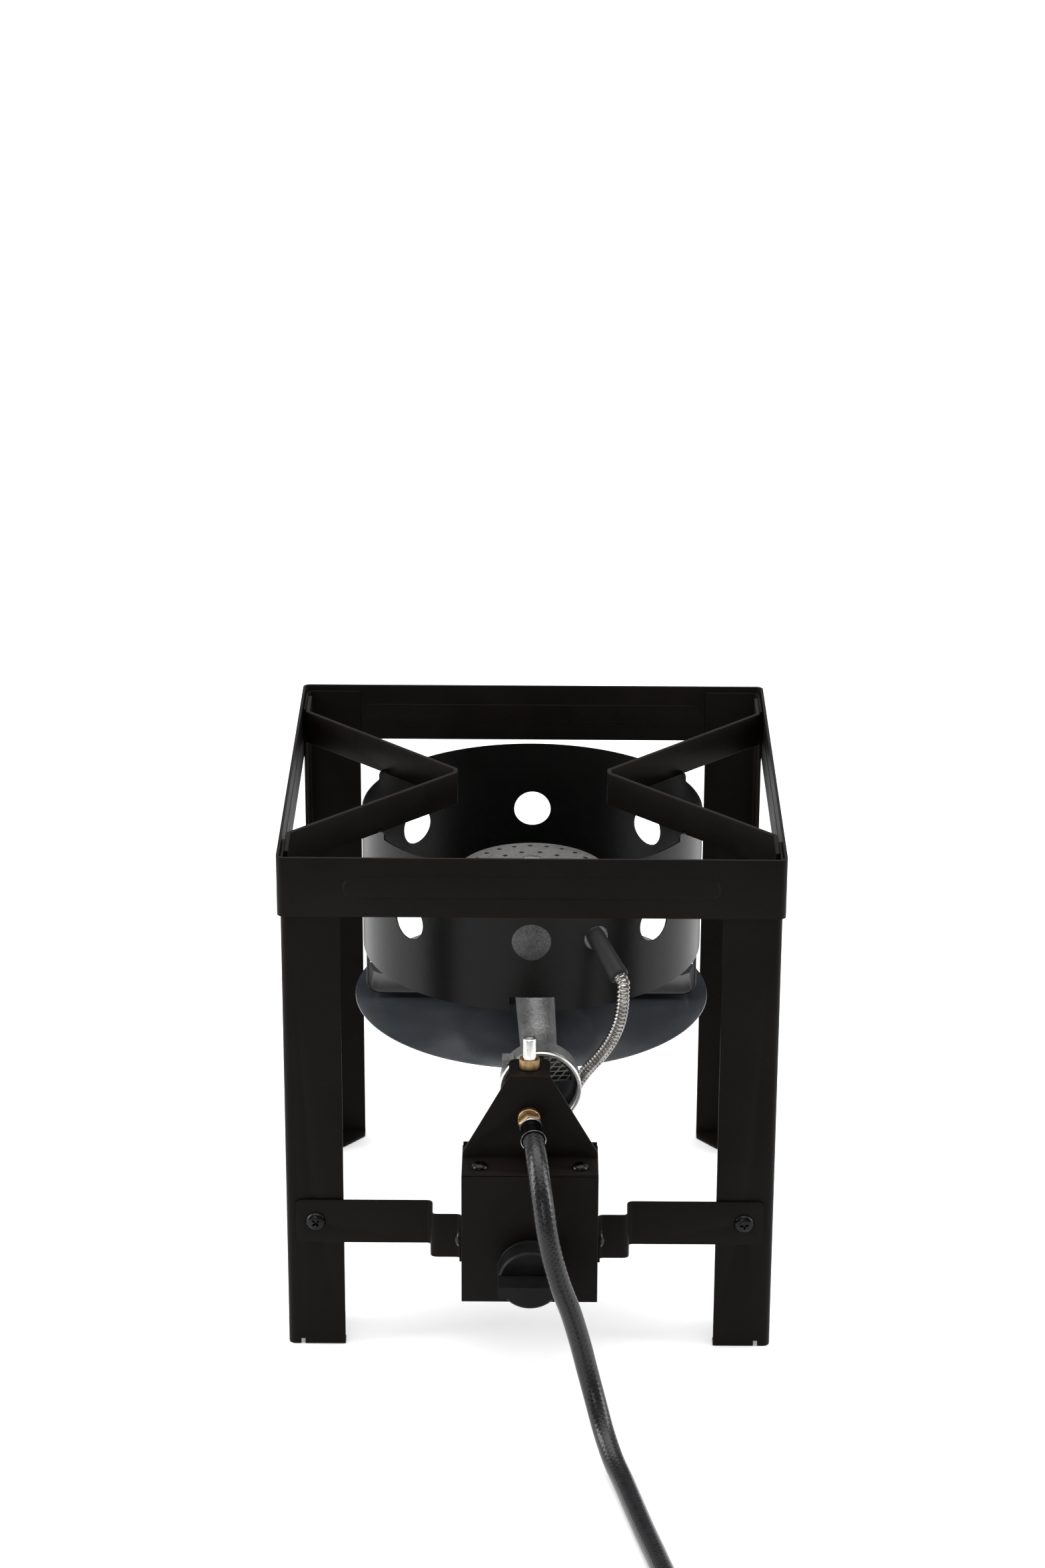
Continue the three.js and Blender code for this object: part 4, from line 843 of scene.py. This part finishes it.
def make_head():
    low, top, radius, bore = HEAD["bottom"], HEAD["top"], HEAD["radius"], HEAD["bore"]
    profile = [
        (bore, low), (radius - 0.8, low), (radius, low + 0.8), (radius, low + 3.6), (radius - 1.2, low + 5.6),
        (radius - 5, top - 6), (radius - 15, top - 4.2), (34, top - 2.8), (22, top - 1.8), (16, top - 0.6),
        (13, top), (bore + 0.4, top), (bore, top - 0.4), (bore, low),
    ]
    dome = Shape(burner_turn())
    dome.lathe((0, 0, 0), (0, 0, 1), profile, 96)
    ports = Shape(burner_turn())
    for count, ring in ((24, 47), (14, 31)):
        for n in range(count):
            angle = 2 * math.pi * n / count
            x, y = ring * math.cos(angle), ring * math.sin(angle)
            ports.lathe((x, y, low - 1), (x, y, top), [(0, 0), (2, 0), (2, 20), (0, 20)], 14)
    shape = Shape()
    shape.add(carved(dome.mesh("dome"), ports.mesh("ports")))
    shape.piece("ported_head", CAST_IRON, ["burner_head"], 35)


def make_air_parts():
    """The expanded mesh behind the bell's mouth, and the turning air plate in front of it."""
    shape = Shape(burner_turn())
    x0, z0, y0 = BELL["x"], BELL["z"], SCREEN["y"]
    reach = SCREEN["radius"] - 0.8
    for slope, pitch in SCREEN["wires"]:
        along = Vector((math.cos(math.radians(slope)), 0, math.sin(math.radians(slope))))
        across = Vector((-along.z, 0, along.x))
        count = int(reach / pitch)
        for n in range(-count, count + 1):
            half = math.sqrt(max(reach ** 2 - (n * pitch) ** 2, 1))
            middle = Vector((x0, y0, z0)) + across * (n * pitch)
            shape.tube([middle - along * half, middle, middle + along * half], 0.42, 6)
    ring = [(SCREEN["radius"] - 1.4, -0.6), (SCREEN["radius"], -0.6), (SCREEN["radius"], 0.6)]
    ring += [(SCREEN["radius"] - 1.4, 0.6), (SCREEN["radius"] - 1.4, -0.6)]
    shape.lathe((x0, y0, z0), (x0, 0, z0), ring, 72)
    shape.piece("expanded_screen", SCREEN_WIRE, ["air_screen"], 50)
    refined("air_shutter", SHIELD_PAINT, 0.2)


# ---- timer box --------------------------------------------------------------------------------
def make_control_box():
    refined("control_box", COAT, 0.7, 3)
    refined("box_rear_cover", COAT, 0.4)
    refined("control_bracket", COAT, 0.45)
    for side in ("left", "right"):
        refined(f"box_strap_{side}", COAT, 0.5)
    refined("timer_body", PLASTIC, 0.8)
    refined("timer_shaft", ZINC, 0.3)
    make_knob()


def make_knob():
    x, z, radius = KNOB["x"], KNOB["z"], KNOB["radius"]
    back, front, grip = KNOB["back"], KNOB["front"], KNOB["grip_front"]
    depth = back - front
    shape = Shape()
    skirt = [
        (3.4, 0.3), (radius - 0.5, 0), (radius, 0.5), (radius, 3), (radius - 0.35, 3.4),
        (radius - 0.7, depth - 2.6), (radius - 1.2, depth - 1), (radius - 2.4, depth), (0, depth),
    ]
    shape.lathe((x, back, z), (x, front, z), skirt, 96)
    shape.soften(0.3, 60)
    half, end = 4.5, radius - 0.9
    tip = []
    for n in range(13):
        angle = math.radians(-12 + 2 * n)
        tip.append((end * math.cos(angle), half * math.sin(angle) / math.sin(math.radians(12))))
    outline = [(tx, ty) for tx, ty in tip] + [(-tx, -ty) for tx, ty in tip]
    turn = Matrix.Translation((x, front + 1, z)) @ Matrix.Rotation(math.pi / 2, 4, "X")
    bar = Shape()
    bar.prism(outline, turn, front + 1 - grip)
    bar.soften(1.1, 40, 4)
    shape.add(bar.mesh("bar"))
    shape.piece("moulded_knob", PLASTIC, ["timer_knob"], 35)


# ---- safety valve -----------------------------------------------------------------------------
def make_valve():
    x, y, z = VALVE["x"], VALVE["y"], VALVE["z"]
    shape = Shape()
    barrel = [(0, 188), (8, 188), (9.6, 188.6), (10, 190), (10, 237.6), (9.4, 238.4), (5.2, 238.4)]
    barrel += [(5.2, 215.5), (0, 215.5)]
    shape.lathe((x, y, 0), (x, y, 1), barrel, 64)
    shape.lathe((x, y, z), (x, y - 1, z), [(9.2, 6), (9.2, 11.8), (8.8, 12.2), (0, 12.2)], 48)
    shape.lathe((x, y, z), (x, y + 1, z), [(7, 6), (7, 12.6), (6.6, 13), (0, 13)], 48)
    shape.lathe((x, y, PORT["z"]), port_point(1), [(6.9, 6), (6.9, 14.4), (6, 15), (0, 15)], 6)
    shape.piece("brass_valve", BRASS, ["valve_body"], 35)
    jet = [(0.8, 0), (5.4, 0), (6, 0.6), (6, 4.6), (5.2, 5.2), (3.4, 6), (2.6, 12.4), (2.1, 13)]
    jet += [(0.8, 13), (0.8, 0)]
    Shape().lathe((x, y + 13.3, z), (x, y + 30, z), jet, 40).piece("brass_jet", BRASS, ["gas_orifice"], 35)
    bottom, seat, top = BUSH["bottom"], BUSH["seat"], BUSH["top"]
    bore, radius = BUSH["bore"], BUSH["radius"]
    bush = [(bore, bottom), (6, bottom), (6, seat), (radius - 0.3, seat), (radius, seat + 0.3)]
    bush += [(radius, top - 0.7), (radius - 0.15, top - 0.2), (radius - 0.6, top), (bore + 0.9, top)]
    bush += [(bore, top - 0.9), (bore, bottom)]
    Shape().lathe((x, y, 0), (x, y, 1), bush, 64).piece("threaded_bush", BRASS, ["valve_bush"], 25)
    pin = [(0, BUTTON["foot"]), (BUTTON["stem"], BUTTON["foot"]), (BUTTON["stem"], BUTTON["shoulder"])]
    pin += [(BUTTON["radius"], BUTTON["shoulder"]), (BUTTON["radius"], BUTTON["top"] - 0.9)]
    pin += [(BUTTON["radius"] - 0.3, BUTTON["top"] - 0.3), (BUTTON["radius"] - 0.9, BUTTON["top"])]
    pin.append((0, BUTTON["top"]))
    Shape().lathe((x, y, 0), (x, y, 1), pin, 64).piece("steel_button", STAINLESS, ["valve_button"], 35)
    make_spring()
    nut = [(2, 0), (6.1, 0), (6.47, 0.4), (6.47, 2.4), (6.1, 2.8), (2, 2.8), (2, 0)]
    shape = Shape().lathe(port_point(15.3), port_point(20), nut, 6)
    shape.piece("brass_conduit_nut", BRASS, ["conduit_nut"], 35)


def make_spring():
    x, y = VALVE["x"], VALVE["y"]
    line = []
    count = SPRING["turns"] * 16
    for n in range(count + 1):
        angle = 2 * math.pi * n / 16
        level = SPRING["bottom"] + 0.5 + (SPRING["top"] - SPRING["bottom"] - 1) * n / count
        across, back = SPRING["radius"] * math.cos(angle), SPRING["radius"] * math.sin(angle)
        line.append(Vector((x + across, y + back, level)))
    coil = Shape().tube(line, SPRING["wire"] / 2, 8).piece("return_spring", ZINC, ["valve_spring"], 50)
    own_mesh(coil)


# ---- flame probe ------------------------------------------------------------------------------
def make_probe():
    length = (Vector(BOOT_END) - Vector(BOOT_START)).length
    boot = [(0, 0), (4.8, 0), (5.8, 0.7), (6.3, 3), (6.75, 6), (6.6, length * 0.5), (6.75, length * 0.8)]
    boot += [(7, length - 3.4), (7, length - 1.2), (6.7, length - 0.4), (6.1, length), (5.1, length - 0.3)]
    boot += [(4.95, length - 1.4), (0, length - 1.6)]
    Shape().lathe(BOOT_START, BOOT_END, boot, 48).piece("rubber_boot", BOOT_RUBBER, ["probe_boot"], 45)
    start = beyond(BOOT_START, BOOT_END, 2.6)
    reach = (Vector(PROBE_TIP) - Vector(start)).length
    rod = [(0, 0), (3, 0), (3, reach - 12.4), (2.6, reach - 11.6), (1.8, reach - 9), (1.8, reach - 1)]
    rod += [(1, reach - 0.1), (0, reach)]
    Shape().lathe(start, PROBE_TIP, rod, 32).piece("steel_probe", ZINC, ["flame_probe"], 45)
    line = smooth_line(CONDUIT_POINTS, CONDUIT_PITCH / 8)

    def ribbed(distance):
        across = (distance / CONDUIT_PITCH) % 1
        if across > 0.8:
            return CONDUIT_RADIUS - 0.95
        return CONDUIT_RADIUS - 0.4 + 0.4 * math.sin(math.pi * across / 0.8)

    Shape().tube(line, ribbed, 24).piece("ribbed_conduit", CONDUIT_STEEL, ["probe_conduit"], 75)


# ---- hose, its ends and its coil --------------------------------------------------------------
def make_hose():
    inlet = Shape()
    x, z = VALVE["x"], VALVE["z"]
    collar = [(0, 0), (7.3, 0), (7.85, 0.6), (7.85, 5), (7.3, 5.6), (7.3, 6.4), (7.85, 7), (7.85, 8)]
    collar.append((0, 8.4))
    inlet.lathe((x, PLATE_FRONT + 1.9, z), (x, -300, z), collar, 48)
    hex_start = beyond(FERRULE_START, FERRULE_END, 7)
    hexagon = [(0, 0), (7.9, 0), (8.37, 0.6), (8.37, 6.1), (7.9, 6.7), (0, 6.7)]
    inlet.lathe(hex_start, FERRULE_START, hexagon, 6)
    inlet.piece("brass_inlet", BRASS, ["inlet_fitting"], 35)
    length = (Vector(FERRULE_END) - Vector(FERRULE_START)).length
    ferrule = [
        (0, 0), (7.2, 0), (7.7, 0.4), (7.8, 1.3), (7.5, 1.9), (7.55, 3), (7.7, 6), (7.6, 7), (7.8, 8.4),
        (7.9, length - 4), (8.15, length - 2.4), (8.7, length - 0.9), (8.95, length - 0.35), (8.9, length),
        (8.5, length - 0.1), (7.9, length - 1.8), (7.5, length - 2.6), (7.3, length - 2.8),
    ]
    bands = [1, 1, 1, 1, 0, 0, 0, 0, 0, 0, 0, 0, 1, 1, 0, 0, 0]
    shape = Shape().lathe(FERRULE_START, FERRULE_END, ferrule, 64, bands)
    top_ferrule = shape.piece("crimped_ferrule", [BLACK_SCREW, ZINC], ["hose_ferrule"], 40)
    path = smooth_line([*HOSE_DROP, *coil_points(), *HOSE_TAIL], 3)
    hose = Shape().tube(path, HOSE_RADIUS, 32)
    hose = hose.piece("braided_hose", HOSE_RUBBER, ["gas_hose", "hose_coil", "hose_tail"], 60)
    tie = refined("coil_tie", TIE, 0.4)
    pieces = [top_ferrule, tie, *make_regulator()]


def make_regulator():
    x, y, z = REGULATOR
    ferrule = [(0, 0), (8.3, 0), (8.9, 0.4), (8.9, 1), (7.9, 3.2), (7.7, 9), (7.4, 9.6), (7.7, 10.2)]
    ferrule += [(7.6, 16), (0, 16)]
    end = Shape().lathe((x, y, z), (x, y - 1, z), ferrule, 64)
    end = end.piece("end_ferrule", ZINC, ["regulator_ferrule"], 40)
    body = Shape()
    centre = (x, y - 50, z)
    housing = [
        (0, -22.4), (14, -22.4), (16, -22), (22, -20), (23, -18), (24, -6.4), (25, -5), (28.4, -4),
        (29, -3.4), (29, -0.3), (28.6, 0), (29, 0.3), (29, 3.4), (28.4, 4), (25.4, 5), (24.6, 7),
        (23, 15), (21.6, 17.4), (19, 18.5), (12, 18.5), (11, 17.7), (0, 17.7),
    ]
    body.lathe(centre, (x, y - 50, z + 1), housing, 96)
    for n in range(4):
        angle = math.radians(45 + 90 * n)
        spot = (x + 26.6 * math.cos(angle), y - 50 + 26.6 * math.sin(angle), z + 3)
        screw_head = [(0, 0), (2.2, 0), (2.2, 2.2), (1.6, 2.8), (0, 2.8)]
        body.lathe(spot, (spot[0], spot[1], z + 9), screw_head, 20, 1)
    hexagon = [(0, 0), (9.2, 0), (9.8, 0.7), (9.8, 14), (0, 14)]
    body.lathe((x, y - 16.3, z), (x, y - 40, z), hexagon, 6, 2)
    neck = [(9, 20), (9, 43), (8, 43.6), (8, 48.6), (11.5, 49), (11.5, 52), (7, 52.4), (7, 68)]
    neck += [(6.4, 69), (7, 70), (6, 73), (5, 74), (5, 77), (4, 78), (0, 78)]
    body.lathe(centre, (x, y - 90, z), neck, 48, 2)
    materials = [CAST_ALUMINIUM, ZINC, BRASS]
    reg = body.piece("cast_regulator", materials, ["regulator_body"], 35)
    return [end, reg, make_hand_nut()]


def make_hand_nut():
    x, y, z = REGULATOR
    shape = Shape()
    count, steps = 10, 120
    start, length = 102.6, 27

    def ring(level, radius_at):
        """A ring of points round the connector's axis, its radius a function of the angle."""
        points = []
        for n in range(steps):
            angle = 2 * math.pi * n / steps
            radius = radius_at(angle)
            spot = (x + radius * math.cos(angle), y - start - level, z + radius * math.sin(angle))
            points.append(shape.bm.verts.new(spot))
        return points

    def grip(angle):
        return 21.4 + max(-1, min(1, 2.2 * math.cos(count * angle)))

    levels = [(0, 0.88), (1, 0.96), (2.4, 1), (length - 2.4, 1), (length - 1, 0.97), (length, 0.9)]
    rings = [ring(level, lambda angle, scale=scale: grip(angle) * scale) for level, scale in levels]
    bores = [(length, 15.5), (6, 15.5), (6, 7.6), (0, 7.6)]
    rings += [ring(level, lambda angle, radius=radius: radius) for level, radius in bores]
    rings.append(rings[0])
    for low, high in zip(rings, rings[1:]):
        shape.strip(low, high, steps, 0, 0, 1)
    return shape.piece("moulded_hand_nut", PLASTIC, ["connector_nut"], 40)


make_frame()
make_shroud()
make_shield()
make_screws()
make_burner()
make_air_parts()
make_control_box()
make_valve()
make_probe()
make_hose()
